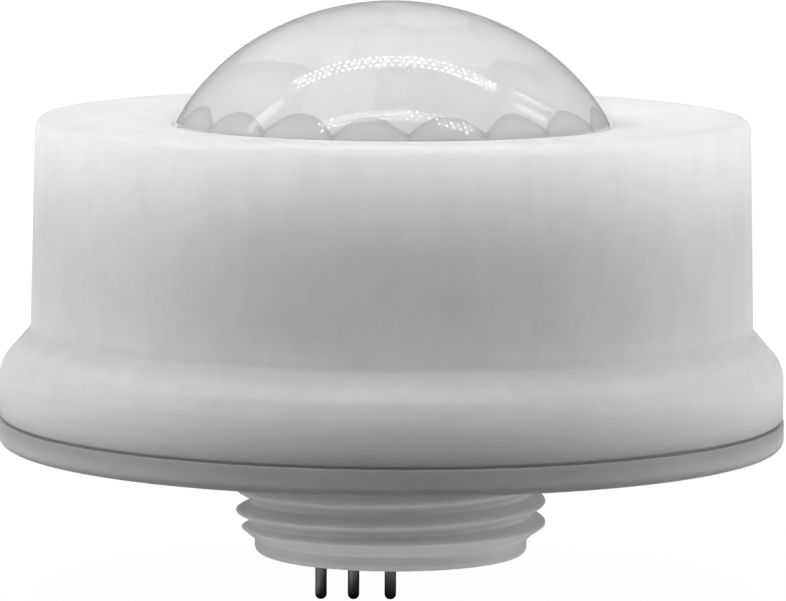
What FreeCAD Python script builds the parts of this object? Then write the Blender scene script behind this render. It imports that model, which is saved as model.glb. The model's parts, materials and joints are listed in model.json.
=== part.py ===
import FreeCAD, Part
import math
import os

Vector = FreeCAD.Vector

# Presence sensor that screws into a round hole of a lamp and plugs in with three pins.
# Origin at the centre of the plate's underside, +Z towards the lens, millimetres.

# Base plate
plate_d = 84.0
plate_thickness = 2.8
plate_edge_radius = 0.9
plate_lip_bevel = 0.15

# Threaded neck under the plate
neck_length = 11.95
neck_bore_d = 24.4
neck_lip_width = 1.6
neck_lip_height = 1.2
thread_major_d = 33.25
thread_depth = 1.48
thread_pitch = 2.31
thread_crest_width = 0.36
thread_flank_angle = 27.5
thread_rooting = 0.22
thread_last_crest = 8.6
thread_end_taper = 1.65
thread_run_in = 1.1
thread_relief = 2.2
thread_relief_taper = 1.0
nose_d = 29.2
nose_height = 0.95
nose_chamfer = 0.6
nose_chamfer_height = 0.6

# Register ring that centres the housing, and the gasket in its groove
register_clearance = 0.15
register_wall = 2.2
register_height = 3.6
gasket_width = 1.4
gasket_groove_height = 1.8
gasket_height = 1.9

# Housing
plate_overhang = 0.1
flange_height = 5.86
chamfer_height = 3.72
chamfer_depth = 3.3
drum_draft = 0.5
housing_height = 32.35
housing_wall = 2.4
flange_blend = 3.5
foot_blend = 0.8
rim_radius = 1.4
dish_depth = 0.95
lens_edge_wall = 2.2
lens_edge_bevel = 0.3
inner_corner_bevel = 1.2
seam_height = 0.3
seam_depth = 0.6
seam_edge_bevel = 0.2
rib_count = 6
rib_thickness = 1.2
rib_depth = 1.5
rib_phase = 40.0
rib_rooting = 1.8

# Screws that hold base and housing together
screw_count = 3
boss_phase = 5.0
boss_d = 6.8
boss_wall_overlap = 0.6
pad_d = 8.4
pad_height = 2.4
base_screw_head_d = 5.6
base_screw_head_height = 2.0
base_screw_core_d = 2.4
base_screw_length = 12.0
base_screw_hole_d = 3.3
head_recess_depth = 2.2
head_recess_clearance = 0.25
tapping_clearance = 0.05
tapping_depth_spare = 1.0

# Heads of all the screws, as shares of the head's diameter or height
head_bevel_share = 0.4
recess_depth_share = 0.55
recess_length_share = 0.55
recess_width_share = 0.14

# Lens
lens_shoulder = 3.0
lens_clearance = 0.4
lens_rise = 12.1
lens_crown_radius = 28.4
lens_crown_angle = 30.0
lens_side_radius = 24.2
lens_cell_wall = 1.25
lens_skirt_wall = 0.9
lens_flange_inset = 1.4
lens_flange_thickness = 1.0

# Rows of flat cells inside the dome, from the apex down
lens_cell_tilt_angles = (0.0, 14.0, 30.0, 46.5, 63.0)
lens_cell_counts = (1, 6, 12, 18, 18)
lens_cell_first_angles = (0.0, 0.0, -2.0, -6.0, 4.0)

# Lens gasket, retainer ring and its screws
lens_gasket_thickness = 0.8
lens_gasket_width = 2.2
retainer_bore_inset = 0.6
retainer_ear_reach = 1.3
retainer_thickness = 2.0
retainer_room = 6.8
retainer_ear_d = 5.8
retainer_post_d = 4.6
small_head_d = 4.2
small_head_height = 1.4
small_core_d = 1.9
small_hole_d = 2.4
retainer_screw_length = 4.9

# Sensor board, hung from the retainer
hanger_inset = 2.2
hanger_d = 4.2
hanger_length = 3.6
board_thickness = 1.6
sensor_board_clearance = 2.5
sensor_screw_length = 5.4

# Main board, on the base's standoffs
main_board_clearance = 1.5
standoff_inset = 3.5
standoff_d = 5.2
standoff_height = 6.0
main_screw_length = 6.0

# Pin carrier, pins and their lead wires
carrier_clearance = 0.1
carrier_thickness = 2.4
pin_d = 1.25
pin_places = (-7.46, -3.96, 0.0)
pin_reach = 5.25
pin_tip_radius = 0.6
pin_shank_d = 1.8
pin_shank_clearance = 0.03
pin_collar_d = 2.6
pin_collar_height = 0.6
pin_tail_d = 0.9
pin_tail_length = 2.2
wire_d = 1.7
wire_offset = 6.0
wire_first_run = 4.0
wire_last_run = 3.5
wire_bend_radius = 4.5

# Parts on the main board
capacitor_d = 8.0
capacitor_clearance = 2.1
capacitor_bevel = 0.5
capacitor_crimp_height = 2.1
capacitor_crimp_depth = 0.4
capacitor_places = ((11.0, -9.5), (13.5, 0.5))
choke_d = 9.0
choke_height = 6.5
choke_flange = 1.1
choke_waist_d = 4.6
choke_winding_d = 8.0
choke_place = (-12.0, -11.0)
regulator_size = (6.6, 6.2, 2.3)
regulator_bevel = 0.28
regulator_tab_size = (5.3, 2.2, 0.8)
regulator_place = (0.0, -19.0)
chip_size = (7.0, 7.0, 1.4)
chip_bevel = 0.2
chip_place = (-13.5, 3.5)
chip_leads_per_side = 8
chip_lead_pitch = 0.8
chip_lead_width = 0.35
chip_lead_reach = 1.0
chip_lead_under = 0.4
chip_lead_thickness = 0.2

# Header and socket between the two boards
link_place = (0.0, 12.5)
link_count = 6
link_pitch = 2.54
link_width = 2.5
link_header_height = 2.5
link_pin_width = 0.64
link_gap = 1.6
link_pin_clearance = 3.6
link_hole_width = 0.9
link_socket_roof = 2.5

# Infrared detector at the lens's centre
detector_spacer_d = 9.4
detector_spacer_height = 1.2
detector_flange_d = 9.1
detector_flange_height = 0.5
detector_can_d = 8.2
detector_can_height = 3.7
detector_can_bevel = 0.4
filter_length = 4.6
filter_width = 3.4
filter_thickness = 0.4
detector_lead_d = 0.45
detector_lead_circle_r = 2.54
detector_lead_angles = (45.0, 135.0, 225.0)
detector_lead_below = 1.4
detector_lead_hole_d = 0.8

# Small parts on the sensor board
dome_rises = (0.0, 25.0, 50.0, 72.0)
light_sensor_d = 3.0
light_sensor_height = 4.2
light_sensor_place = (10.0, -5.5)
lamp_d = 3.0
lamp_height = 4.4
lamp_foot_d = 3.8
lamp_foot_height = 0.8
lamp_place = (9.5, 6.0)
receiver_size = (5.2, 3.6, 5.6)
receiver_lens_d = 4.0
receiver_lens_height = 3.9
receiver_place = (-11.0, 4.5)
amplifier_size = (8.6, 3.9, 1.5)
amplifier_place = (-9.0, -8.5)
amplifier_leads_per_side = 7
amplifier_lead_pitch = 1.2

# Worked out from the sizes above
plate_r = plate_d / 2
flange_r = plate_r - plate_overhang
foot_r = flange_r - chamfer_depth
top_r = foot_r - drum_draft
rim_z = plate_thickness + housing_height
lens_edge_z = rim_z - dish_depth
ceiling_z = lens_edge_z - lens_edge_wall
chamfer_angle = math.atan2(flange_r - foot_r, chamfer_height)
inner_drop = housing_wall * math.tan(chamfer_angle / 2)
mouth_r = flange_r - housing_wall
boss_circle_r = top_r - housing_wall - boss_d / 2 + boss_wall_overlap
register_r = mouth_r - register_clearance
pad_z = plate_thickness + pad_height
boss_inner_r = boss_circle_r - boss_d / 2
main_board_d = 2 * (boss_inner_r - main_board_clearance)
standoff_circle_r = main_board_d / 2 - standoff_inset
sensor_board_d = 2 * (boss_inner_r - sensor_board_clearance)
hanger_circle_r = sensor_board_d / 2 - hanger_inset
retainer_circle_r = top_r - housing_wall - retainer_room
retainer_d = 2 * (retainer_circle_r - retainer_ear_reach)
lens_flange_d = retainer_d - 2 * lens_flange_inset
lens_skirt_d = lens_flange_d - 2 * lens_shoulder
retainer_bore_d = lens_skirt_d - 2 * retainer_bore_inset
opening_r = lens_skirt_d / 2 + lens_clearance
apex_z = rim_z + lens_rise
crown_centre_z = apex_z - lens_crown_radius
lens_flange_top_z = ceiling_z - lens_gasket_thickness
retainer_top_z = lens_flange_top_z - lens_flange_thickness
retainer_bottom_z = retainer_top_z - retainer_thickness
sensor_board_top_z = retainer_bottom_z - hanger_length
sensor_board_z = sensor_board_top_z - board_thickness
main_board_z = plate_thickness + standoff_height
main_board_top_z = main_board_z + board_thickness
board_gap = sensor_board_z - main_board_top_z
capacitor_height = board_gap - capacitor_clearance
link_pin_height = board_gap - link_pin_clearance
link_socket_height = board_gap - link_header_height - link_gap
link_hole_depth = link_socket_height - link_socket_roof
carrier_z = neck_lip_height - neck_length
carrier_top_z = carrier_z + carrier_thickness
opposite_phase = boss_phase + 180 / screw_count


# Construction helpers

def ring_angles(count, first):
    """The angles of evenly spaced copies, in degrees."""
    return [first + 360.0 * k / count for k in range(count)]


def around(radius, angle, z=0.0):
    """The point at this radius, angle in degrees and height."""
    turn = math.radians(angle)
    return Vector(radius * math.cos(turn), radius * math.sin(turn), z)


def cylinder(diameter, height, place):
    """An upright cylinder whose base centre is at place."""
    return Part.makeCylinder(diameter / 2, height, place)


def block(size, place):
    """A box centred on place in X and Y, with its underside at place's height."""
    length, width, height = size
    corner = Vector(place.x - length / 2, place.y - width / 2, place.z)
    return Part.makeBox(length, width, height, corner)


def rounded_edges(corners):
    """Edges through (r, z, radius) corners in the XZ plane, closed, each corner rounded by its radius."""
    points = [Vector(r, 0, z) for r, z, _ in corners]
    starts, ends, arcs = [], [], []
    for k, (_, _, radius) in enumerate(corners):
        corner = points[k]
        before = (points[k - 1] - corner).normalize()
        after = (points[(k + 1) % len(points)] - corner).normalize()
        if radius == 0:
            starts.append(corner)
            ends.append(corner)
            arcs.append(None)
            continue
        half = before.getAngle(after) / 2
        middle_way = (before + after).normalize()
        reach = radius / math.tan(half)
        middle = corner + middle_way * (radius / math.sin(half) - radius)
        starts.append(corner + before * reach)
        ends.append(corner + after * reach)
        arcs.append(Part.Arc(starts[-1], middle, ends[-1]).toShape())
    edges = []
    for k, arc in enumerate(arcs):
        if arc is not None:
            edges.append(arc)
        following = starts[(k + 1) % len(starts)]
        if ends[k].distanceToPoint(following) > 1e-6:
            edges.append(Part.makeLine(ends[k], following))
    return edges


def turned_edges(edges):
    """The solid that a closed outline in the XZ plane sweeps round Z."""
    face = Part.Face(Part.Wire(Part.__sortEdges__(edges)))
    return face.revolve(Vector(0, 0, 0), Vector(0, 0, 1), 360)


def turned(corners):
    """The solid that an outline of (r, z, radius) corners sweeps round Z."""
    return turned_edges(rounded_edges(corners))


def tube(inner_r, outer_r, z_low, z_high):
    """A plain ring between two radii and two heights."""
    return turned([(inner_r, z_low, 0), (outer_r, z_low, 0), (outer_r, z_high, 0), (inner_r, z_high, 0)])


def cross_recess(head_d, depth, place, up):
    """The cross-shaped driver recess of a screw head, cut from its outer face at place."""
    arm = head_d * recess_length_share
    slot = head_d * recess_width_share
    low = place.z - depth if up else place.z
    at = Vector(place.x, place.y, low)
    return block((arm, slot, depth), at).fuse(block((slot, arm, depth), at))


def pan_screw(head_d, head_height, core_d, length, place, up):
    """A pan-head screw that seats at place. Its shank is drawn at the core of its thread."""
    sign = 1 if up else -1
    edge = head_height * head_bevel_share
    outline = [
        (0, -head_height),
        (head_d / 2 - edge, -head_height),
        (head_d / 2, edge - head_height),
        (head_d / 2, 0),
        (core_d / 2, 0),
        (core_d / 2, length - core_d / 2),
        (0, length),
    ]
    screw = turned([(r, z * sign, 0) for r, z in outline])
    screw.translate(place)
    outer = Vector(place.x, place.y, place.z - sign * head_height)
    return screw.cut(cross_recess(head_d, head_height * recess_depth_share, outer, not up))


# Base: plate, register, standoffs and threaded neck

def thread_ridge():
    """The helical ridge of the neck, trimmed to its major diameter, tapered off at its lower end and cleared
    away next to the plate, so that the plate seats flat."""
    core_r = thread_major_d / 2 - thread_depth
    root_r = core_r - thread_rooting
    past_r = thread_major_d / 2 + thread_rooting
    slope = math.tan(math.radians(thread_flank_angle))
    past_half = thread_crest_width / 2 - thread_rooting * slope
    root_half = thread_crest_width / 2 + (thread_depth + thread_rooting) * slope
    start_z = -thread_last_crest - thread_pitch
    helix = Part.makeHelix(thread_pitch, thread_run_in - start_z, root_r)
    helix.translate(Vector(0, 0, start_z))
    section = Part.makePolygon([
        Vector(root_r, 0, start_z - root_half),
        Vector(past_r, 0, start_z - past_half),
        Vector(past_r, 0, start_z + past_half),
        Vector(root_r, 0, start_z + root_half),
        Vector(root_r, 0, start_z - root_half),
    ])
    ridge = Part.Wire(helix.Edges).makePipeShell([section], True, True)
    nose_top_z = nose_height + nose_chamfer_height - neck_length
    envelope = turned([
        (0, nose_top_z, 0),
        (nose_d / 2, nose_top_z, 0),
        (thread_major_d / 2, nose_top_z + thread_end_taper, 0),
        (thread_major_d / 2, thread_run_in, 0),
        (0, thread_run_in, 0),
    ])
    relief = turned([
        (0, -thread_relief, 0),
        (core_r, -thread_relief, 0),
        (past_r, -thread_relief - thread_relief_taper, 0),
        (past_r, thread_run_in + thread_pitch, 0),
        (0, thread_run_in + thread_pitch, 0),
    ])
    return ridge.common(envelope).cut(relief)


def neck():
    """The neck's core with its plain nose, chamfered end and thread."""
    core_r = thread_major_d / 2 - thread_depth
    nose_r = nose_d / 2
    nose_top_z = nose_height + nose_chamfer_height - neck_length
    step = core_r - nose_r
    core = turned([
        (0, -neck_length, 0),
        (nose_r - nose_chamfer, -neck_length, 0),
        (nose_r, nose_chamfer_height - neck_length, 0),
        (nose_r, nose_top_z, 0),
        (core_r, nose_top_z + step, 0),
        (core_r, plate_thickness / 2, 0),
        (0, plate_thickness / 2, 0),
    ])
    return core.fuse(thread_ridge())


def base():
    """Plate, register ring with its gasket groove, screw pads, board standoffs and neck, in one moulding."""
    plate = turned([
        (0, 0, 0),
        (plate_r, 0, plate_edge_radius),
        (plate_r, plate_thickness - plate_lip_bevel, 0),
        (plate_r - plate_lip_bevel, plate_thickness, 0),
        (0, plate_thickness, 0),
    ])
    register_top_z = plate_thickness + register_height
    register = tube(register_r - register_wall, register_r, plate_thickness, register_top_z)
    gasket_z = plate_thickness + gasket_height
    groove = tube(
        mouth_r - gasket_width, mouth_r,
        gasket_z - gasket_groove_height / 2, gasket_z + gasket_groove_height / 2,
    )
    body = plate.fuse(register.cut(groove))
    for angle in ring_angles(screw_count, boss_phase):
        body = body.fuse(cylinder(pad_d, pad_height, around(boss_circle_r, angle, plate_thickness)))
    for angle in ring_angles(screw_count, opposite_phase):
        foot = around(standoff_circle_r, angle, plate_thickness)
        body = body.fuse(cylinder(standoff_d, standoff_height, foot))
    body = body.fuse(neck())
    for angle in ring_angles(screw_count, boss_phase):
        head_room_d = base_screw_head_d + 2 * head_recess_clearance
        body = body.cut(cylinder(head_room_d, head_recess_depth, around(boss_circle_r, angle)))
        body = body.cut(cylinder(base_screw_hole_d, pad_z, around(boss_circle_r, angle)))
    for angle in ring_angles(screw_count, opposite_phase):
        depth = main_screw_length - board_thickness + tapping_depth_spare
        low = around(standoff_circle_r, angle, main_board_z - depth)
        body = body.cut(cylinder(small_core_d + 2 * tapping_clearance, depth, low))
    bore = cylinder(neck_bore_d, plate_thickness - carrier_z, Vector(0, 0, carrier_z))
    lip_bore = cylinder(neck_bore_d - 2 * neck_lip_width, neck_lip_height, Vector(0, 0, -neck_length))
    return body.cut(bore).cut(lip_bore)


def base_gasket():
    """The square-section ring that seals the housing's mouth against the register's groove."""
    middle_z = plate_thickness + gasket_height
    return tube(mouth_r - gasket_width, mouth_r, middle_z - gasket_width / 2, middle_z + gasket_width / 2)


def base_screws():
    """The screws that come up through the plate into the housing's bosses."""
    return [
        pan_screw(
            base_screw_head_d, base_screw_head_height, base_screw_core_d, base_screw_length,
            around(boss_circle_r, angle, head_recess_depth), True,
        )
        for angle in ring_angles(screw_count, boss_phase)
    ]


# Housing

def housing():
    """Drum and flange in one shell, with screw bosses, retainer posts and ribs inside."""
    outer = turned([
        (0, plate_thickness, 0),
        (flange_r - seam_depth, plate_thickness, 0),
        (flange_r - seam_depth, plate_thickness + seam_height, 0),
        (flange_r - seam_edge_bevel, plate_thickness + seam_height, 0),
        (flange_r, plate_thickness + seam_height + seam_edge_bevel, 0),
        (flange_r, plate_thickness + flange_height, flange_blend),
        (foot_r, plate_thickness + flange_height + chamfer_height, foot_blend),
        (top_r, rim_z, rim_radius),
        (opening_r + lens_edge_bevel, lens_edge_z, 0),
        (opening_r, lens_edge_z - lens_edge_bevel, 0),
        (opening_r, ceiling_z, 0),
        (0, ceiling_z, 0),
    ])
    inner = turned([
        (0, plate_thickness, 0),
        (mouth_r, plate_thickness, 0),
        (mouth_r, plate_thickness + flange_height - inner_drop, 0),
        (foot_r - housing_wall, plate_thickness + flange_height + chamfer_height - inner_drop, 0),
        (top_r - housing_wall, ceiling_z - inner_corner_bevel, 0),
        (top_r - housing_wall - inner_corner_bevel, ceiling_z, 0),
        (0, ceiling_z, 0),
    ])
    shell = outer.cut(inner)
    wall_r = top_r - housing_wall
    drum_z = plate_thickness + flange_height + chamfer_height
    root_z = ceiling_z + lens_edge_wall / 2
    for angle in ring_angles(screw_count, boss_phase):
        foot = around(boss_circle_r, angle, pad_z)
        shell = shell.fuse(cylinder(boss_d, root_z - pad_z, foot))
    for angle in ring_angles(screw_count, opposite_phase):
        foot = around(retainer_circle_r, angle, retainer_top_z)
        shell = shell.fuse(cylinder(retainer_post_d, root_z - retainer_top_z, foot))
    for angle in ring_angles(rib_count, rib_phase):
        corner = Vector(wall_r - rib_depth, -rib_thickness / 2, drum_z)
        rib = Part.makeBox(rib_depth + rib_rooting, rib_thickness, root_z - drum_z, corner)
        rib.rotate(Vector(0, 0, 0), Vector(0, 0, 1), angle)
        shell = shell.fuse(rib)
    for angle in ring_angles(screw_count, boss_phase):
        depth = base_screw_length - (pad_z - head_recess_depth) + tapping_depth_spare
        hole_d = base_screw_core_d + 2 * tapping_clearance
        shell = shell.cut(cylinder(hole_d, depth, around(boss_circle_r, angle, pad_z)))
    for angle in ring_angles(screw_count, opposite_phase):
        depth = retainer_screw_length - retainer_thickness + tapping_clearance
        hole_d = small_core_d + 2 * tapping_clearance
        shell = shell.cut(cylinder(hole_d, depth, around(retainer_circle_r, angle, retainer_top_z)))
    return shell.removeSplitter()


# Lens, its gasket and its retainer

def dome_point(tilt, depth):
    """The point of the dome's section where its normal leans by tilt, this deep under the surface."""
    lean = math.radians(min(tilt, lens_crown_angle))
    point = Vector(0, 0, crown_centre_z) + Vector(math.sin(lean), 0, math.cos(lean)) * lens_crown_radius
    if tilt > lens_crown_angle:
        side_centre = point - Vector(math.sin(lean), 0, math.cos(lean)) * lens_side_radius
        lean = math.radians(tilt)
        point = side_centre + Vector(math.sin(lean), 0, math.cos(lean)) * lens_side_radius
    return point - Vector(math.sin(lean), 0, math.cos(lean)) * depth


def lens_cavity():
    """The hollow of the dome: flat cells on its inner face, one for each beam, over a round skirt."""
    bore_d = lens_skirt_d - 2 * lens_skirt_wall
    cavity = cylinder(bore_d, apex_z - retainer_top_z, Vector(0, 0, retainer_top_z))
    slab = 2 * lens_skirt_d
    rows = zip(lens_cell_tilt_angles, lens_cell_counts, lens_cell_first_angles)
    for tilt, count, first in rows:
        lean = math.radians(tilt)
        section_point = dome_point(tilt, lens_cell_wall)
        for angle in ring_angles(count, first):
            touch = around(section_point.x, angle, section_point.z)
            outward = around(math.sin(lean), angle, math.cos(lean))
            beyond = block((slab, slab, slab), Vector(0, 0, 0))
            beyond.Placement = FreeCAD.Placement(touch, FreeCAD.Rotation(Vector(0, 0, 1), outward))
            cavity = cavity.cut(beyond)
    return cavity


def lens():
    """The translucent dome with its straight skirt, flange and inner cells."""
    skirt_r = lens_skirt_d / 2
    side_centre_r = dome_point(lens_crown_angle, lens_side_radius).x
    skirt_tilt = math.degrees(math.asin((skirt_r - side_centre_r) / lens_side_radius))
    top = dome_point(0, 0)
    crown_end = dome_point(lens_crown_angle, 0)
    shoulder = dome_point(skirt_tilt, 0)
    path = [
        shoulder,
        Vector(skirt_r, 0, lens_flange_top_z),
        Vector(lens_flange_d / 2, 0, lens_flange_top_z),
        Vector(lens_flange_d / 2, 0, retainer_top_z),
        Vector(0, 0, retainer_top_z),
        top,
    ]
    edges = [Part.makeLine(start, end) for start, end in zip(path, path[1:])]
    edges.append(Part.Arc(top, dome_point(lens_crown_angle / 2, 0), crown_end).toShape())
    side_middle = dome_point((lens_crown_angle + skirt_tilt) / 2, 0)
    edges.append(Part.Arc(crown_end, side_middle, shoulder).toShape())
    return turned_edges(edges).cut(lens_cavity())


def lens_gasket():
    """The flat ring between the lens's flange and the housing's ceiling."""
    outer_r = lens_flange_d / 2
    return tube(outer_r - lens_gasket_width, outer_r, lens_flange_top_z, ceiling_z)


def lens_retainer():
    """The ring that clamps the lens, with ears for its screws and hangers for the sensor board."""
    ring = cylinder(retainer_d, retainer_thickness, Vector(0, 0, retainer_bottom_z))
    ear_angles = ring_angles(screw_count, opposite_phase)
    ears = [around(retainer_circle_r, angle, retainer_bottom_z) for angle in ear_angles]
    hanger_angles = ring_angles(screw_count, boss_phase)
    hangers = [around(hanger_circle_r, angle, sensor_board_top_z) for angle in hanger_angles]
    for place in ears:
        ring = ring.fuse(cylinder(retainer_ear_d, retainer_thickness, place))
    for place in hangers:
        ring = ring.fuse(cylinder(hanger_d, hanger_length, place))
    ring = ring.cut(cylinder(retainer_bore_d, retainer_thickness, Vector(0, 0, retainer_bottom_z)))
    for place in ears:
        ring = ring.cut(cylinder(small_hole_d, retainer_thickness, place))
    for place in hangers:
        depth = sensor_screw_length - board_thickness + tapping_depth_spare
        ring = ring.cut(cylinder(small_core_d + 2 * tapping_clearance, depth, place))
    return ring


def small_screws(circle_r, first, z, length, up):
    """A set of small pan-head screws on a circle."""
    return [
        pan_screw(small_head_d, small_head_height, small_core_d, length, around(circle_r, angle, z), up)
        for angle in ring_angles(screw_count, first)
    ]


# Neck parts: carrier, pins and lead wires

def pin_points(z):
    """The places of the pins at this height."""
    return [Vector(x, 0, z) for x in pin_places]


def pin_carrier():
    """The insulating disc that rests on the neck's lip and holds the pins."""
    disc = cylinder(neck_bore_d - 2 * carrier_clearance, carrier_thickness, Vector(0, 0, carrier_z))
    spigot_d = neck_bore_d - 2 * neck_lip_width - 2 * carrier_clearance
    disc = disc.fuse(cylinder(spigot_d, neck_lip_height, Vector(0, 0, -neck_length)))
    hole_d = pin_shank_d + 2 * pin_shank_clearance
    for place in pin_points(-neck_length):
        disc = disc.cut(cylinder(hole_d, carrier_thickness + neck_lip_height, place))
    return disc


def contact_pin(place):
    """One contact pin: round nose, thicker shank in the carrier, collar above it, tail for the wire."""
    pin_r = pin_d / 2
    pin = turned([
        (0, -neck_length - pin_reach, 0),
        (pin_r, -neck_length - pin_reach, pin_tip_radius),
        (pin_r, -neck_length, 0),
        (pin_shank_d / 2, -neck_length, 0),
        (pin_shank_d / 2, carrier_top_z, 0),
        (pin_collar_d / 2, carrier_top_z, 0),
        (pin_collar_d / 2, carrier_top_z + pin_collar_height, 0),
        (pin_tail_d / 2, carrier_top_z + pin_collar_height, 0),
        (pin_tail_d / 2, carrier_top_z + pin_collar_height + pin_tail_length, 0),
        (0, carrier_top_z + pin_collar_height + pin_tail_length, 0),
    ])
    pin.translate(place)
    return pin


def lead_wire(place):
    """The insulated wire from a pin's tail up to the main board, with one bend out and one back."""
    low_z = carrier_top_z + pin_collar_height + pin_tail_length
    route = [
        Vector(place.x, 0, low_z),
        Vector(place.x, 0, low_z + wire_first_run),
        Vector(place.x, wire_offset, main_board_z - wire_last_run),
        Vector(place.x, wire_offset, main_board_z),
    ]
    lean = (route[2] - route[1]).getAngle(Vector(0, 0, 1))
    reach = wire_bend_radius * math.tan(lean / 2)
    slant = (route[2] - route[1]).normalize()
    rise = Vector(0, 0, 1)
    middle_reach = wire_bend_radius * (1 / math.cos(lean / 2) - 1)
    inward = (slant - rise).normalize()
    bends = []
    for corner, before, after, side in ((route[1], rise, slant, 1), (route[2], slant, rise, -1)):
        middle = corner + inward * (side * middle_reach)
        bends.append((corner - before * reach, middle, corner + after * reach))
    edges = [
        Part.makeLine(route[0], bends[0][0]),
        Part.Arc(*bends[0]).toShape(),
        Part.makeLine(bends[0][2], bends[1][0]),
        Part.Arc(*bends[1]).toShape(),
        Part.makeLine(bends[1][2], route[3]),
    ]
    section = Part.Wire(Part.makeCircle(wire_d / 2, route[0], rise))
    return Part.Wire(edges).makePipeShell([section], True, True)


# Boards

def holed_board(diameter, z, circle_r, first):
    """A round board with its screw holes."""
    board = cylinder(diameter, board_thickness, Vector(0, 0, z))
    for angle in ring_angles(screw_count, first):
        board = board.cut(cylinder(small_hole_d, board_thickness, around(circle_r, angle, z)))
    return board


def main_board():
    """The power board on the base's standoffs."""
    return holed_board(main_board_d, main_board_z, standoff_circle_r, opposite_phase)


def detector_lead_points(z):
    """The places of the detector's three leads at this height."""
    return [around(detector_lead_circle_r, angle, z) for angle in detector_lead_angles]


def sensor_board():
    """The board under the lens, hung from the retainer."""
    board = holed_board(sensor_board_d, sensor_board_z, hanger_circle_r, boss_phase)
    for place in detector_lead_points(sensor_board_z):
        board = board.cut(cylinder(detector_lead_hole_d, board_thickness, place))
    return board


# Parts on the main board

def on_main_board(place):
    """A point on the main board's top."""
    return Vector(place[0], place[1], main_board_top_z)


def capacitor(place):
    """A can capacitor with a bevelled top edge and the crimp above its base."""
    can_r = capacitor_d / 2
    can = turned([
        (0, 0, 0),
        (can_r, 0, 0),
        (can_r, capacitor_crimp_height - capacitor_crimp_depth, 0),
        (can_r - capacitor_crimp_depth, capacitor_crimp_height, 0),
        (can_r, capacitor_crimp_height + capacitor_crimp_depth, 0),
        (can_r, capacitor_height - capacitor_bevel, 0),
        (can_r - capacitor_bevel, capacitor_height, 0),
        (0, capacitor_height, 0),
    ])
    can.translate(on_main_board(place))
    return can


def choke_core():
    """The drum core of the choke."""
    core = cylinder(choke_d, choke_height, on_main_board(choke_place))
    waist = tube(choke_waist_d / 2, choke_d, choke_flange, choke_height - choke_flange)
    waist.translate(on_main_board(choke_place))
    return core.cut(waist)


def choke_winding():
    """The coil of the choke, wound on its core's waist."""
    coil = tube(choke_waist_d / 2, choke_winding_d / 2, choke_flange, choke_height - choke_flange)
    coil.translate(on_main_board(choke_place))
    return coil


def regulator():
    """The voltage regulator, a block with a metal tab at one end."""
    _, width, height = regulator_size
    middle_z = main_board_top_z + height / 2
    body = block(regulator_size, on_main_board(regulator_place))
    body = body.makeChamfer(regulator_bevel, [edge for edge in body.Edges if edge.BoundBox.ZMin > middle_z])
    tab_place = on_main_board(regulator_place) + Vector(0, (width + regulator_tab_size[1]) / 2, 0)
    return body.fuse(block(regulator_tab_size, tab_place))


def chip_body(size, place):
    """A moulded chip with bevelled upper edges, raised on its leads."""
    length, width, height = size
    foot = place + Vector(0, 0, chip_lead_thickness)
    body = block((length, width, height - chip_lead_thickness), foot)
    middle_z = foot.z + height / 2
    return body.makeChamfer(chip_bevel, [edge for edge in body.Edges if edge.BoundBox.ZMin > middle_z])


def chip_leads(size, place, per_side, pitch, sides):
    """The flat leads of a chip, which lie on the board and reach under its body."""
    leads = []
    for turn in sides:
        half = size[0] / 2 if turn % 180 == 0 else size[1] / 2
        for k in range(per_side):
            along = (k - (per_side - 1) / 2) * pitch
            corner = Vector(half - chip_lead_under, along - chip_lead_width / 2, 0)
            length = chip_lead_under + chip_lead_reach
            lead = Part.makeBox(length, chip_lead_width, chip_lead_thickness, corner)
            lead.rotate(Vector(0, 0, 0), Vector(0, 0, 1), turn)
            lead.translate(place)
            leads.append(lead)
    return leads


def link_pin_points(z):
    """The places of the header's pins at this height."""
    x, y = link_place
    first = -(link_count - 1) / 2 * link_pitch
    return [Vector(x + first + k * link_pitch, y, z) for k in range(link_count)]


def link_strip(z, height, hole_w, hole_z, hole_depth):
    """A connector strip with one square hole for each pin."""
    x, y = link_place
    strip = block((link_count * link_pitch, link_width, height), Vector(x, y, z))
    for place in link_pin_points(hole_z):
        strip = strip.cut(block((hole_w, hole_w, hole_depth), place))
    return strip


def link_header():
    """The strip on the main board that carries the link pins."""
    low_z = main_board_top_z
    return link_strip(low_z, link_header_height, link_pin_width, low_z, link_header_height)


def link_pins():
    """The square pins that join the two boards."""
    size = (link_pin_width, link_pin_width, link_pin_height)
    return [block(size, place) for place in link_pin_points(main_board_top_z)]


def link_socket():
    """The socket strip under the sensor board, open towards the pins."""
    low_z = sensor_board_z - link_socket_height
    return link_strip(low_z, link_socket_height, link_hole_width, low_z, link_hole_depth)


# Parts on the sensor board

def on_sensor_board(place):
    """A point on the sensor board's top."""
    return Vector(place[0], place[1], sensor_board_top_z)


def detector_spacer():
    """The insulating disc that lifts the detector off the board."""
    spacer = cylinder(detector_spacer_d, detector_spacer_height, on_sensor_board((0, 0)))
    for place in detector_lead_points(sensor_board_top_z):
        spacer = spacer.cut(cylinder(detector_lead_hole_d, detector_spacer_height, place))
    return spacer


def filter_block(top_z, clearance):
    """The room of the detector's window, or the window itself."""
    size = (filter_length + clearance, filter_width + clearance, filter_thickness)
    return block(size, Vector(0, 0, top_z - filter_thickness))


def detector_top_z():
    """The height of the detector can's top."""
    return sensor_board_top_z + detector_spacer_height + detector_flange_height + detector_can_height


def detector_can():
    """The detector's sealed metal can, with a seat for its window."""
    can = turned([
        (0, 0, 0),
        (detector_flange_d / 2, 0, 0),
        (detector_flange_d / 2, detector_flange_height, 0),
        (detector_can_d / 2, detector_flange_height, 0),
        (detector_can_d / 2, detector_flange_height + detector_can_height - detector_can_bevel, 0),
        (detector_can_d / 2 - detector_can_bevel, detector_flange_height + detector_can_height, 0),
        (0, detector_flange_height + detector_can_height, 0),
    ])
    can.translate(Vector(0, 0, sensor_board_top_z + detector_spacer_height))
    return can.cut(filter_block(detector_top_z(), 2 * tapping_clearance))


def detector_filter():
    """The detector's dark window."""
    return filter_block(detector_top_z(), 0)


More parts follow.
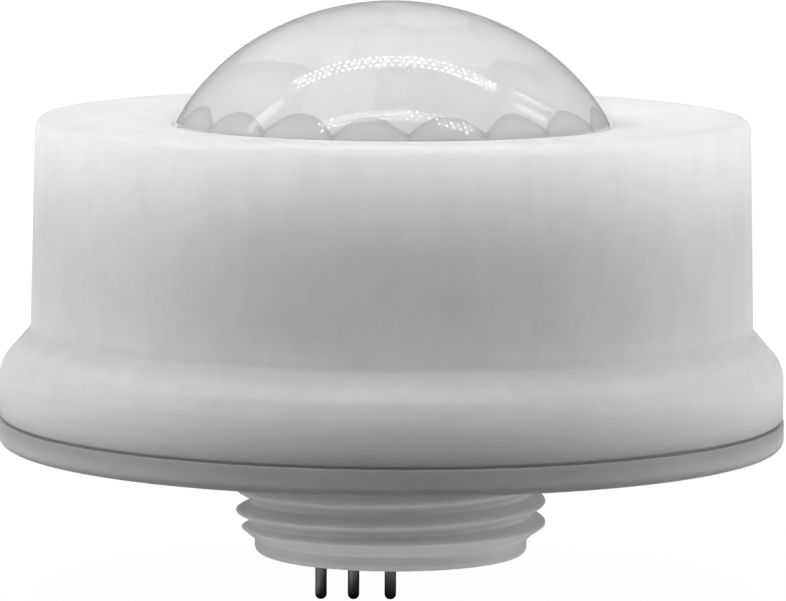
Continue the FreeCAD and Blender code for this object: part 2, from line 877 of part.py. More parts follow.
def detector_leads():
    """The detector's leads, down through the spacer and the board."""
    low_z = sensor_board_z - detector_lead_below
    length = sensor_board_top_z + detector_spacer_height - low_z
    return [cylinder(detector_lead_d, length, place) for place in detector_lead_points(low_z)]


def domed_tip(radius, top_z):
    """The outline of a small moulded dome that ends at top_z."""
    centre = Vector(0, 0, top_z - radius)
    points = [centre + around(radius, rise) for rise in dome_rises]
    return [(point.x, centre.z + point.y, 0) for point in points] + [(0, top_z, 0)]


def light_sensor():
    """The daylight sensor, a small clear dome on the board."""
    radius = light_sensor_d / 2
    sensor = turned([(0, 0, 0), (radius, 0, 0)] + domed_tip(radius, light_sensor_height))
    sensor.translate(on_sensor_board(light_sensor_place))
    return sensor


def status_lamp():
    """The small signal lamp with its foot."""
    foot = [
        (0, 0, 0),
        (lamp_foot_d / 2, 0, 0),
        (lamp_foot_d / 2, lamp_foot_height, 0),
        (lamp_d / 2, lamp_foot_height, 0),
    ]
    lamp = turned(foot + domed_tip(lamp_d / 2, lamp_height))
    lamp.translate(on_sensor_board(lamp_place))
    return lamp


def remote_receiver():
    """The receiver for the remote control, a block with a round lens on its face."""
    length, width, height = receiver_size
    place = on_sensor_board(receiver_place)
    body = block(receiver_size, place)
    bulge = cylinder(receiver_lens_d, receiver_lens_height, place - Vector(0, width / 2, 0))
    front = block((length, width, height), place - Vector(0, width, 0))
    return body.fuse(bulge.common(front))


# Every piece by its node name

def pieces():
    """The solids of each node, in the order in which the sensor goes together."""
    amplifier_point = Vector(amplifier_place[0], amplifier_place[1], sensor_board_top_z)
    chip_point = on_main_board(chip_place)
    nodes = {
        "base": [base()],
        "base_gasket": [base_gasket()],
        "base_screws": base_screws(),
        "housing": [housing()],
        "lens": [lens()],
        "lens_gasket": [lens_gasket()],
        "lens_retainer": [lens_retainer()],
        "retainer_screws": small_screws(
            retainer_circle_r, opposite_phase, retainer_bottom_z, retainer_screw_length, True,
        ),
        "pin_carrier": [pin_carrier()],
        "main_board": [main_board()],
        "main_board_screws": small_screws(
            standoff_circle_r, opposite_phase, main_board_top_z, main_screw_length, False,
        ),
        "choke_core": [choke_core()],
        "choke_winding": [choke_winding()],
        "regulator": [regulator()],
        "controller_chip": [chip_body(chip_size, chip_point)],
        "controller_leads": chip_leads(
            chip_size, chip_point, chip_leads_per_side, chip_lead_pitch, (0, 90, 180, 270),
        ),
        "link_header": [link_header()],
        "link_pins": link_pins(),
        "link_socket": [link_socket()],
        "sensor_board": [sensor_board()],
        "sensor_board_screws": small_screws(
            hanger_circle_r, boss_phase, sensor_board_z, sensor_screw_length, True,
        ),
        "detector_spacer": [detector_spacer()],
        "detector_can": [detector_can()],
        "detector_filter": [detector_filter()],
        "detector_leads": detector_leads(),
        "light_sensor": [light_sensor()],
        "status_lamp": [status_lamp()],
        "remote_receiver": [remote_receiver()],
        "amplifier_chip": [chip_body(amplifier_size, amplifier_point)],
        "amplifier_leads": chip_leads(
            amplifier_size, amplifier_point, amplifier_leads_per_side, amplifier_lead_pitch, (90, 270),
        ),
    }
    for number, place in enumerate(pin_points(0), start=1):
        nodes[f"contact_pin_{number}"] = [contact_pin(place)]
        nodes[f"lead_wire_{number}"] = [lead_wire(place)]
    for number, place in enumerate(capacitor_places, start=1):
        nodes[f"capacitor_{number}"] = [capacitor(place)]
    return nodes


os.makedirs("parts", exist_ok=True)
for node, solids in pieces().items():
    shape = solids[0] if len(solids) == 1 else Part.makeCompound(solids)
    shape.exportStep(f"parts/{node}.step")
    print(f"{node}: {len(shape.Solids)} solid, {shape.Volume:.1f} mm3, valid {shape.isValid()}")
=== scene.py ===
"""Looks of the presence sensor: smooth visible pieces, finishes, light and camera round the CAD frame.

Sizes are in millimetres, with the origin at the centre of the plate's underside and +Z towards the lens.
"""

from __future__ import annotations

import json
import logging
import math
from collections.abc import Callable, Iterable, Sequence
from dataclasses import dataclass
from enum import Enum
from typing import Union

import bmesh
import bpy
from mathutils import Matrix, Vector

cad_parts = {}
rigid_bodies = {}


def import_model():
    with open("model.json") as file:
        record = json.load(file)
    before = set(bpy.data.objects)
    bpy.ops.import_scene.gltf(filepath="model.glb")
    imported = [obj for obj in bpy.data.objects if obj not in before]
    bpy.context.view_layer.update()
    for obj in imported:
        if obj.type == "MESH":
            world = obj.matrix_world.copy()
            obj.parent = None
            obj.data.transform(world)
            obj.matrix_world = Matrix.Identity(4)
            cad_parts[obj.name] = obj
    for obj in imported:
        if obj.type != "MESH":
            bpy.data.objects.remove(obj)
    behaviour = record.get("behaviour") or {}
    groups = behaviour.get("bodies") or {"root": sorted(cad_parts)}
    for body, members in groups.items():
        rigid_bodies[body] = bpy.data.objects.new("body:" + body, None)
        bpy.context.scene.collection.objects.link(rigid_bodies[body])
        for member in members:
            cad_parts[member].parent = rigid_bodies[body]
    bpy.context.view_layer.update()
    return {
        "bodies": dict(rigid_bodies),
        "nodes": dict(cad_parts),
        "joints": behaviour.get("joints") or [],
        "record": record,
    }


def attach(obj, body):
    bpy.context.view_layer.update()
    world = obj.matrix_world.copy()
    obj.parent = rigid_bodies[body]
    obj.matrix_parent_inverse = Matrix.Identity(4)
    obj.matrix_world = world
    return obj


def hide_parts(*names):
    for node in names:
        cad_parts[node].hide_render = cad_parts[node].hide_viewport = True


MM = 0.001
BODY = "root"
MERGE_REACH = 1e-6
OVERSHOOT = 1.0
FINE_SIDES = 256
NOISE_MIDDLE = 0.5
ORIGIN = (0.0, 0.0, 0.0)
WHITE = (1.0, 1.0, 1.0, 1.0)

PLATE_TOP = 2.8
SCREW_CIRCLE = 32.9
SCREW_FIRST = 5.0
SCREW_SEAT = 2.2
NECK_END = -11.95
NECK_LIP_TOP = -10.75
CARRIER_TOP = -8.35
PIN_PLACES = (-7.46, -3.96, 0.0)

Piece = bpy.types.Object
Material = bpy.types.Material
Node = bpy.types.Node
Tree = bpy.types.ShaderNodeTree
Pair = tuple[float, float]
Triple = tuple[float, float, float]
Value = Union["Field", float, Sequence[float]]
log = logging.getLogger("presence_sensor")


class Joining(Enum):
    """How one solid is combined with another."""

    ADD = "UNION"
    CUT = "DIFFERENCE"
    KEEP_SHARED = "INTERSECT"


@dataclass(frozen=True)
class Corner:
    """One corner of a turned outline: radius, height and how much it is rounded, in millimetres."""

    r: float
    z: float
    rounding: float = 0.0
    steps: int = 6


# Mesh tools


def object_mode() -> None:
    """Leaves edit mode and deselects every object."""
    if bpy.context.mode != "OBJECT":
        bpy.ops.object.mode_set(mode="OBJECT")
    bpy.ops.object.select_all(action="DESELECT")


def make_active(obj: Piece) -> None:
    """Selects obj alone and makes it active."""
    object_mode()
    obj.select_set(True)
    bpy.context.view_layer.objects.active = obj


def new_piece(operator: Callable[..., object], name: str, **settings: object) -> Piece:
    """Adds an object with nothing else selected.

    Args:
        operator: The operator that adds it, at the origin if no location is given.
        name: The object's name.
        settings: The operator's other values.

    Returns:
        The new object.
    """
    object_mode()
    operator(**{"location": ORIGIN, **settings})
    obj = bpy.context.active_object
    obj.name = name
    return obj


def own_copy(obj: Piece) -> Piece:
    """A copy of obj in the scene, with a mesh of its own."""
    copy = obj.copy()
    copy.data = obj.data.copy()
    bpy.context.scene.collection.objects.link(copy)
    return copy


def move(obj: Piece, place: Vector) -> None:
    """Moves obj's mesh by this many millimetres."""
    obj.data.transform(Matrix.Translation(place * MM))


def edit(obj: Piece) -> None:
    """Opens obj in edit mode with nothing selected."""
    make_active(obj)
    bpy.ops.object.mode_set(mode="EDIT")
    bpy.ops.mesh.select_mode(type="EDGE")
    bpy.ops.mesh.select_all(action="DESELECT")


def finish_edit() -> None:
    """Merges doubles, turns the faces outwards and leaves edit mode."""
    bpy.ops.mesh.select_all(action="SELECT")
    bpy.ops.mesh.remove_doubles(threshold=MERGE_REACH)
    bpy.ops.mesh.normals_make_consistent(inside=False)
    bpy.ops.mesh.select_all(action="DESELECT")
    bpy.ops.object.mode_set(mode="OBJECT")


def pick_edges(obj: Piece, test: Callable[[Vector, Vector], bool]) -> None:
    """Selects the edges of the edited mesh whose ends pass a test.

    Args:
        obj: The object in edit mode.
        test: Takes an edge's two ends and says whether to select it.
    """
    bpy.ops.mesh.select_all(action="DESELECT")
    mesh = bmesh.from_edit_mesh(obj.data)
    for edge in [edge for edge in mesh.edges if test(edge.verts[0].co, edge.verts[1].co)]:
        edge.select_set(True)
    mesh.select_flush_mode()
    bmesh.update_edit_mesh(obj.data)


def on_ring(corner: Corner) -> Callable[[Vector, Vector], bool]:
    """A test for edges that lie on the ring which a corner of the outline leaves."""
    reach = 2.0 * MERGE_REACH

    def test(*ends: Vector) -> bool:
        """Says whether both ends are on the ring."""
        return all(
            abs(end.z - corner.z * MM) < reach and abs(math.hypot(end.x, end.y) - corner.r * MM) < reach
            for end in ends
        )

    return test


def extrude_ring(before: Corner, after: Corner) -> None:
    """Extrudes the selected ring from one corner of the outline to the next."""
    rise = (0.0, 0.0, (after.z - before.z) * MM)
    bpy.ops.mesh.extrude_edges_move(TRANSFORM_OT_translate={"value": rise})
    if after.r == 0.0:
        bpy.ops.mesh.merge(type="CENTER")
        return
    share = after.r / before.r
    bpy.ops.transform.resize(value=(share, share, 1.0), center_override=ORIGIN)


def bevel_reach(before: Corner, corner: Corner, after: Corner) -> float:
    """The distance in metres from a corner to where its rounding starts."""
    come = Vector((corner.r - before.r, corner.z - before.z))
    leave = Vector((after.r - corner.r, after.z - corner.z))
    return corner.rounding * math.tan(come.angle(leave) / 2.0) * MM


def turned(
    name: str, outline: Sequence[tuple[float, ...]], sides: int = FINE_SIDES, closed: bool = False,
) -> Piece:
    """Turns an outline round the Z axis, from a circle that is extruded from corner to corner.

    Args:
        name: The object's name.
        outline: The values of its corners. A last corner on the axis closes that end.
        sides: The number of sides of each ring.
        closed: Whether the outline runs back to its first corner, otherwise its first ring is closed flat.

    Returns:
        The new object, in object mode.
    """
    corners = [Corner(*values) for values in outline]
    first = corners[0]
    obj = new_piece(bpy.ops.mesh.primitive_circle_add, name, vertices=sides, radius=first.r * MM,
                    location=(0.0, 0.0, first.z * MM))
    bpy.ops.object.transform_apply(location=True, rotation=True, scale=True)
    edit(obj)
    bpy.ops.mesh.select_all(action="SELECT")
    path = corners + ([first] if closed else [])
    for before, after in zip(path, path[1:]):
        extrude_ring(before, after)
    if not closed:
        pick_edges(obj, on_ring(first))
        bpy.ops.mesh.extrude_edges_move()
        bpy.ops.mesh.merge(type="CENTER")
    bpy.ops.mesh.select_all(action="SELECT")
    bpy.ops.mesh.remove_doubles(threshold=MERGE_REACH)
    for k, corner in enumerate(corners):
        if corner.rounding > 0.0:
            pick_edges(obj, on_ring(corner))
            reach = bevel_reach(corners[k - 1], corner, corners[(k + 1) % len(corners)])
            bpy.ops.mesh.bevel(offset=reach, segments=corner.steps, affect="EDGES", clamp_overlap=False)
    finish_edit()
    return obj


def block(name: str, length: float, width: float, height: float) -> Piece:
    """Adds a block round the origin and leaves it in edit mode."""
    obj = new_piece(bpy.ops.mesh.primitive_cube_add, name, size=MM)
    edit(obj)
    bpy.ops.mesh.select_all(action="SELECT")
    bpy.ops.transform.resize(value=(length, width, height))
    return obj


def sheet(name: str, length: float, width: float, cuts: int) -> Piece:
    """Adds a flat sheet at the origin, cut into even parts."""
    obj = new_piece(bpy.ops.mesh.primitive_plane_add, name, size=MM)
    edit(obj)
    bpy.ops.mesh.select_all(action="SELECT")
    bpy.ops.transform.resize(value=(length, width, 1.0))
    bpy.ops.mesh.subdivide(number_cuts=cuts)
    bpy.ops.object.mode_set(mode="OBJECT")
    return obj


def pillars(radius: float, low: float, high: float, places: Iterable[Vector], sides: int = 48) -> list[Piece]:
    """Upright round pillars between two heights, one at each place in X and Y.

    Args:
        radius: Their radius.
        low: The height of their feet.
        high: The height of their tops.
        places: Their places.
        sides: The number of sides of each.

    Returns:
        The new objects.
    """
    made = []
    for place in places:
        pillar = turned("pillar", [(radius, low), (radius, high), (0.0, high)], sides)
        move(pillar, place)
        made.append(pillar)
    return made


def joined(name: str, parts: Sequence[Piece]) -> Piece:
    """Joins objects into the first one, under a new name."""
    make_active(parts[0])
    for part in parts[1:]:
        part.select_set(True)
    bpy.ops.object.join()
    parts[0].name = name
    return parts[0]


def apply_modifier(obj: Piece, kind: str, **settings: object) -> None:
    """Gives obj a modifier of a kind with these settings, and applies it."""
    modifier = obj.modifiers.new(kind, kind)
    for name, value in settings.items():
        setattr(modifier, name, value)
    make_active(obj)
    bpy.ops.object.modifier_apply(modifier=modifier.name)


def combine(obj: Piece, others: Sequence[Piece], how: Joining) -> None:
    """Combines obj with other solids, which are used up.

    Args:
        obj: The solid that is kept.
        others: The solids that are added, cut away or intersected in one go.
        how: The kind of combination.
    """
    other = joined("other", others)
    apply_modifier(obj, "BOOLEAN", operation=how.value, solver="EXACT", object=other)
    bpy.data.objects.remove(other, do_unlink=True)


def smooth(obj: Piece, degrees: float = 32.0) -> None:
    """Shades obj smooth, with edges over this angle left sharp."""
    make_active(obj)
    bpy.ops.object.shade_smooth_by_angle(angle=math.radians(degrees))


def around(radius: float, degrees: float, z: float = 0.0) -> Vector:
    """The point at this radius, angle and height."""
    turn = math.radians(degrees)
    return Vector((radius * math.cos(turn), radius * math.sin(turn), z))


def ring_angles(count: int, first: float) -> list[float]:
    """The angles in degrees of evenly spaced copies."""
    return [first + 360.0 * k / count for k in range(count)]


def three_places(radius: float, first: float) -> list[Vector]:
    """Three evenly spaced places on a circle."""
    return [around(radius, angle) for angle in ring_angles(3, first)]


def screw_places() -> list[Vector]:
    """The places of the three screws that hold base and housing together."""
    return three_places(SCREW_CIRCLE, SCREW_FIRST)


def dress(obj: Piece, material: Material) -> None:
    """Gives obj this material alone."""
    obj.data.materials.clear()
    obj.data.materials.append(material)


def settle(obj: Piece, material: Material, slot: str, *nodes: str) -> None:
    """Dresses a finished piece and ties it to the frame.

    Args:
        obj: The piece.
        material: Its finish.
        slot: The record's material slot; not used.
        nodes: The CAD nodes that it stands for.
    """
    dress(obj, material)
    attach(obj, BODY)
    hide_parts(*nodes)
    log.info("%s: %d faces", obj.name, len(obj.data.polygons))


# Node tools


class Kind(Enum):
    """What a node group's socket carries."""

    PLACE = "NodeSocketVector"
    COLOUR = "NodeSocketColor"
    NUMBER = "NodeSocketFloat"


@dataclass(frozen=True)
class Field:
    """A node's output to calculate with: each sum or product of it adds a math node."""

    graph: Graph
    socket: bpy.types.NodeSocket

    def __add__(self, other: Value) -> Field:
        """This value plus another."""
        return self.graph.calc("ADD", self, other)

    def __sub__(self, other: Value) -> Field:
        """This value less another."""
        return self.graph.calc("SUBTRACT", self, other)

    def __rsub__(self, other: Value) -> Field:
        """A number less this value."""
        return self.graph.calc("SUBTRACT", other, self)

    def __mul__(self, other: Value) -> Field:
        """This value times another."""
        return self.graph.calc("MULTIPLY", self, other)

    def __truediv__(self, other: Value) -> Field:
        """This value divided by another."""
        return self.graph.calc("DIVIDE", self, other)


@dataclass(frozen=True)
class Graph:
    """A node tree with short calls for the nodes used here."""

    tree: bpy.types.NodeTree

    def fill(self, node: Node, inputs: dict[str | int, Value]) -> None:
        """Links each of these inputs of a node to a value, or sets it."""
        for key, value in inputs.items():
            if isinstance(value, Field):
                self.tree.links.new(value.socket, node.inputs[key])
            else:
                node.inputs[key].default_value = value

    def add(self, kind: str, inputs: dict[str | int, Value] | None = None, **settings: object) -> Node:
        """Adds a node.

        Args:
            kind: The node's type, without its common prefix.
            inputs: Values of its inputs by name or number.
            settings: Property values by name.

        Returns:
            The node.
        """
        node = self.tree.nodes.new(kind if kind.startswith("Node") else "ShaderNode" + kind)
        for name, value in settings.items():
            setattr(node, name, value)
        self.fill(node, inputs or {})
        return node

    def get(self, kind: str, output: str | int, inputs: dict | None = None, **settings: object) -> Field:
        """One output of a new node."""
        return Field(self, self.add(kind, inputs, **settings).outputs[output])

    def calc(self, operation: str, *values: Value) -> Field:
        """The result of a math node on up to three values."""
        return self.get("Math", 0, dict(enumerate(values)), operation=operation)

    def vector(self, operation: str, *values: Value, output: str | int = 0) -> Field:
        """The result of a vector math node on up to three values."""
        return self.get("VectorMath", output, dict(enumerate(values)), operation=operation)

    def span(self, value: Value, low: float, high: float, to_low: float, to_high: float) -> Field:
        """A value moved from one range to another, softly at both ends and kept inside."""
        numbers = dict(enumerate((value, low, high, to_low, to_high)))
        return self.get("MapRange", 0, numbers, interpolation_type="SMOOTHSTEP")

    def fade(self, value: Value, reach: float) -> Field:
        """One where a value is 0, and falling softly to 0 at this reach."""
        return self.span(value, 0.0, reach, 1.0, 0.0)

    def noise(self, place: Value, scale: Value, detail: float = 2.0, roughness: float = 0.5,
              output: str = "Fac") -> Field:
        """Soft noise from 0 to 1 at this many cycles per metre."""
        values = {"Vector": place, "Scale": scale, "Detail": detail, "Roughness": roughness}
        return self.get("TexNoise", output, values)

    def stretch(self, place: Field, scale: Triple) -> Field:
        """Coordinates scaled by axis."""
        return self.get("Mapping", "Vector", {"Vector": place, "Scale": scale})

    def split(self, place: Field) -> list[Field]:
        """The X, Y and Z of a place."""
        return [Field(self, socket) for socket in self.add("SeparateXYZ", {0: place}).outputs]

    def shade(self, colour: Value, factor: Value) -> Field:
        """A colour multiplied by a factor that may vary over the surface."""
        return self.get("VectorMath", 0, {0: colour, "Scale": factor}, operation="SCALE")

    def seen(self) -> Field:
        """One for rays from the camera, also where they pass through clear matter."""
        kinds = ("Is Camera Ray", "Is Transmission Ray")
        return self.calc("MAXIMUM", *(self.get("LightPath", kind) for kind in kinds))

    def use(self, tree: Tree, inputs: dict[str, Value]) -> Callable[[str], Field]:
        """Places a group and gives a function that finds its outputs by name."""
        node = self.add("Group", inputs, node_tree=tree)
        return lambda label: Field(self, node.outputs[label])


def new_group(
    name: str, inputs: dict[str, Kind], outputs: dict[str, Kind],
) -> tuple[Graph, dict[str, Field], Node]:
    """Starts a shader node group with named sockets.

    Args:
        name: The group's name.
        inputs: What each input carries.
        outputs: What each output carries.

    Returns:
        The group's graph, its inputs by name and the node that takes its outputs.
    """
    tree = bpy.data.node_groups.new(name, "ShaderNodeTree")
    for way, kinds in (("INPUT", inputs), ("OUTPUT", outputs)):
        for label, kind in kinds.items():
            tree.interface.new_socket(name=label, in_out=way, socket_type=kind.value)
    graph = Graph(tree)
    source = graph.add("NodeGroupInput").outputs
    return graph, {label: Field(graph, source[label]) for label in inputs}, graph.add("NodeGroupOutput")


def new_material(name: str) -> tuple[Material, Graph, Node]:
    """A new material, its graph and its shader node."""
    material = bpy.data.materials.new(name)
    material.use_nodes = True
    return material, Graph(material.node_tree), material.node_tree.nodes["Principled BSDF"]


# Finishes


@dataclass(frozen=True)
class Mottle:
    """Slow tone changes, fine grain and a little uneven gloss, for every moulded and metal surface."""

    tone_detail: float = 3.0
    grain_share: float = 0.4

    def group(self) -> Tree:
        """Builds the node group."""
        numbers = ("Tone Amount", "Tone Scale", "Roughness", "Gloss Change", "Grain Scale")
        graph, given, made = new_group(
            "surface_mottle",
            {"Place": Kind.PLACE, "Colour": Kind.COLOUR, **{label: Kind.NUMBER for label in numbers}},
            {"Colour": Kind.COLOUR, "Roughness": Kind.NUMBER, "Height": Kind.NUMBER},
        )
        tone = graph.noise(given["Place"], given["Tone Scale"], self.tone_detail) - NOISE_MIDDLE
        grain = graph.noise(given["Place"], given["Grain Scale"])
        fine = (grain - NOISE_MIDDLE) * (given["Tone Amount"] * self.grain_share)
        factor = tone * given["Tone Amount"] + fine + 1.0
        graph.fill(made, {
            "Colour": graph.shade(given["Colour"], factor),
            "Roughness": given["Roughness"] + tone * given["Gloss Change"],
            "Height": grain,
        })
        return graph.tree


@dataclass(frozen=True)
class MouldingMarks:
    """Flow marks and rare tiny pale specks of a white moulding."""

    flow_stretch: Triple = (1.0, 1.0, 0.45)
    flow_scale: float = 300.0
    flow_detail: float = 4.0
    flow_roughness: float = 0.6
    speck_scale: float = 420.0
    speck_edge: Pair = (0.03, 0.1)
    speck_rarity: float = 0.8

    def group(self) -> Tree:
        """Builds the node group."""
        graph, given, made = new_group(
            "moulding_marks",
            {"Place": Kind.PLACE, "Streaks": Kind.NUMBER, "Specks": Kind.NUMBER},
            {"Factor": Kind.NUMBER, "Speck": Kind.NUMBER},
        )
        long_place = graph.stretch(given["Place"], self.flow_stretch)
        flow = graph.noise(long_place, self.flow_scale, self.flow_detail, self.flow_roughness)
        cells = graph.add("TexVoronoi", {"Vector": given["Place"], "Scale": self.speck_scale}, feature="F1")
        dots = graph.span(Field(graph, cells.outputs["Distance"]), *self.speck_edge, 1.0, 0.0)
        lot = graph.get("SeparateColor", 0, {0: Field(graph, cells.outputs["Color"])})
        speck = dots * graph.calc("GREATER_THAN", lot, self.speck_rarity)
        factor = (flow - NOISE_MIDDLE) * given["Streaks"] + speck * given["Specks"] + 1.0
        graph.fill(made, {"Factor": factor, "Speck": speck})
        return graph.tree


@dataclass(frozen=True)
class Groups:
    """The shared node groups."""

    mottle: Tree
    marks: Tree
    cells: Tree


@dataclass(frozen=True)
class Pattern:
    """What a finish draws: its colour and its relief, with or without the fine grain over it."""

    colour: Value
    relief: Value = 0.0
    grainy: bool = True


@dataclass(frozen=True)
class Finish:
    """A finish of one material slot, with its tone changes, gloss and grain."""

    slot: str
    colour: Triple
    roughness: float = 0.4
    metallic: float = 0.0
    tone_amount: float = 0.05
    tone_scale: float = 120.0
    gloss_change: float = 0.08
    grain_scale: float = 2500.0
    grain_depth: float = 0.01
    scatter: float = 0.0
    coat: float = 0.0
    coat_ior: float = 1.5
    clear: float = 0.0
    specular: float = 0.5

    def pattern(self, graph: Graph, groups: Groups, place: Field) -> Pattern:
        """What is drawn under the tone changes: here the plain colour."""
        return Pattern((*self.colour, 1.0))

    def scatter_depth(self, graph: Graph, place: Field) -> Value:
        """How far light spreads inside, in metres."""
        return self.scatter * MM

    def build(self, groups: Groups) -> Material:
        """Builds the material.

        Args:
            groups: The shared node groups.

        Returns:
            The material.
        """
        material, graph, shader = new_material(self.slot)
        place = graph.get("TexCoord", "Object")
        if self.scatter > 0.0:
            shader.subsurface_method = "BURLEY"
            graph.fill(shader, {
                "Subsurface Weight": 1.0, "Subsurface Radius": WHITE[:3],
                "Subsurface Scale": self.scatter_depth(graph, place),
            })
        drawn = self.pattern(graph, groups, place)
        mottled = graph.use(groups.mottle, {
            "Place": place, "Colour": drawn.colour, "Roughness": self.roughness,
            "Tone Amount": self.tone_amount, "Tone Scale": self.tone_scale,
            "Gloss Change": self.gloss_change, "Grain Scale": self.grain_scale,
        })
        height = mottled("Height") + drawn.relief if drawn.grainy else drawn.relief
        graph.fill(shader, {
            "Base Color": mottled("Colour"), "Roughness": mottled("Roughness"), "Metallic": self.metallic,
            "Coat Weight": self.coat, "Coat IOR": self.coat_ior, "Specular IOR Level": self.specular,
            "Transmission Weight": self.clear,
            "Normal": graph.get("Bump", 0, {"Distance": self.grain_depth * MM, "Height": height}),
        })
        return material


@dataclass(frozen=True)
class WhiteMoulding(Finish):
    """White satin plastic with flow marks, specks and soft bands of painted shade and painted light by
    height.

    A band is given by its height, its reach up and down and how much it darkens as painted shade, or
    brightens as painted light if below 0.
    """

    streaks: float = 0.05
    specks: float = 0.06
    speck_height: float = 0.8
    bands: tuple[Triple, ...] = ()
    painted_band_core: float = 0.1
    scatter_low: float = 0.0
    scatter_from: float = 5.0
    scatter_to: float = 15.0

    def scatter_depth(self, graph: Graph, place: Field) -> Value:
        """How far light spreads inside, less low down where the wall is thin."""
        if self.scatter_low == 0.0:
            return self.scatter * MM
        ends = (self.scatter_from, self.scatter_to, self.scatter_low, self.scatter)
        return graph.span(graph.split(place)[2], *(end * MM for end in ends))

    def pattern(self, graph: Graph, groups: Groups, place: Field) -> Pattern:
        """The colour with its bands of painted shade and painted light, and its marks."""
        values = {"Place": place, "Streaks": self.streaks, "Specks": self.specks}
        marks = graph.use(groups.marks, values)
        factor = marks("Factor")
        z = graph.split(place)[2]
        # Each band is painted shade where it darkens and painted light where it brightens, by height.
        for height, reach, amount in self.bands:
            away = graph.calc("ABSOLUTE", z - height * MM)
            factor = factor * graph.span(away, self.painted_band_core * reach * MM, reach * MM, 1.0 - amount, 1.0)
        return Pattern(graph.shade(self.colour, factor), marks("Speck") * self.speck_height)


@dataclass(frozen=True)
class MilkyLens(Finish):
    """Milky translucent plastic that shows the flat cells on its inner face, with painted shade under the
    cells' upper edges that is deep in the lowest row.
    """

    low_row_painted_shade: float = 0.26
    ridge_painted_shade: float = 0.07
    cell_tone: float = 0.07
    border_height: float = -0.5
    wander: float = 1.6
    wander_scale: float = 130.0
    smudge: float = 0.08
    smudge_scale: float = 70.0

    def pattern(self, graph: Graph, groups: Groups, place: Field) -> Pattern:
        """Each cell's own tone, and a painted shade under its upper edge that is deep in the lowest row."""
        drift = graph.noise(place, self.wander_scale, output="Color")
        moved = graph.vector("MULTIPLY_ADD", drift, (self.wander * MM,) * 3, place)
        centred = graph.vector("ADD", moved, (-NOISE_MIDDLE * self.wander * MM,) * 3)
        cells = graph.use(groups.cells, {"Place": centred})
        tone = (cells("Tone") - NOISE_MIDDLE) * self.cell_tone
        smudge = (graph.noise(place, self.smudge_scale) - NOISE_MIDDLE) * self.smudge
        # Painted shade: under each cell's upper edge, and deep over the lowest row.
        depth = cells("Lowest Row") * self.low_row_painted_shade + cells("Ridge") * self.ridge_painted_shade
        factor = tone + smudge + 1.0 - depth
        return Pattern(graph.shade(self.colour, factor), cells("Border") * self.border_height)


@dataclass(frozen=True)
class Circuit(Finish):
    """Green solder mask with lighter copper tracks under it."""

    track_colour: Triple = (0.07, 0.34, 0.16)
    track_scale: float = 260.0
    track_width: float = 0.05
    second_shade: float = 0.85
    break_scale: float = 110.0
    break_edge: Pair = (0.45, 0.55)

    def pattern(self, graph: Graph, groups: Groups, place: Field) -> Pattern:
        """A brick pattern broken up by noise for the tracks."""
        mask = (*self.colour, 1.0)
        darker = (*(self.second_shade * share for share in self.colour), 1.0)
        bricks = graph.add("TexBrick", {
            "Vector": place, "Scale": self.track_scale, "Mortar Size": self.track_width,
            "Color1": mask, "Color2": darker, "Mortar": (*self.track_colour, 1.0),
        }, offset=0.5, squash=0.6, squash_frequency=3)
        broken = graph.span(graph.noise(place, self.break_scale), *self.break_edge, 0.0, 1.0)
        tracks = Field(graph, bricks.outputs["Color"])
        colour = graph.get("Mix", "Result", {"Factor": broken, "A": mask, "B": tracks}, data_type="RGBA")
        return Pattern(colour, Field(graph, bricks.outputs["Fac"]), grainy=False)


@dataclass(frozen=True)
class Wound(Finish):
    """Enamelled wire laid in turns, one above the other."""

    turns_per_metre: float = 2200.0
    unevenness: float = 0.4
    tones: Pair = (0.45, 1.1)

    def pattern(self, graph: Graph, groups: Groups, place: Field) -> Pattern:
        """A band for each turn of wire."""
        values = {"Vector": place, "Scale": self.turns_per_metre / 2.0, "Distortion": self.unevenness}
        bands = graph.get("TexWave", "Fac", values, wave_type="BANDS", bands_direction="Z")
        factor = graph.span(bands, 0.0, 1.0, *self.tones)
        return Pattern(graph.shade(self.colour, factor), bands, grainy=False)


@dataclass(frozen=True)
class DrawnMetal(Finish):
    """Plated metal with fine drawing lines along one axis and dull spots."""

    line_scale: Triple = (1.0, 1.0, 0.04)
    line_tones: tuple[float, ...] = (0.2, 0.8, 0.88, 1.06)
    dull_scale: float = 4.0
    dull_tones: tuple[float, ...] = (0.35, 0.7, 1.0, 0.72)
    detail: float = 3.0

    def pattern(self, graph: Graph, groups: Groups, place: Field) -> Pattern:
        """Stretched noise for the lines, and soft noise for the spots."""
        lines = graph.noise(graph.stretch(place, self.line_scale), self.grain_scale, self.detail)
        spots = graph.noise(place, self.tone_scale * self.dull_scale, self.detail)
        factor = graph.span(spots, *self.dull_tones) * graph.span(lines, *self.line_tones)
        return Pattern(graph.shade(self.colour, factor), lines, grainy=False)


# The lens


@dataclass(frozen=True)
class CellRow:
    """A ring of flat cells inside the dome: how far it leans, how many cells and where the first one is."""

    tilt: float
    count: int
    first: float = 0.0

    @property
    def step(self) -> float:
        """The angle from one cell to the next, in radians."""
        return 2.0 * math.pi / self.count

    def nearest(self, graph: Graph, turn: Field) -> tuple[Field, Field]:
        """The number of the cell next to a direction, and how far its middle is, as a share of a step."""
        place = (turn - math.radians(self.first)) / self.step
        number = graph.calc("ROUND", place)
        return number, graph.calc("ABSOLUTE", place - number)


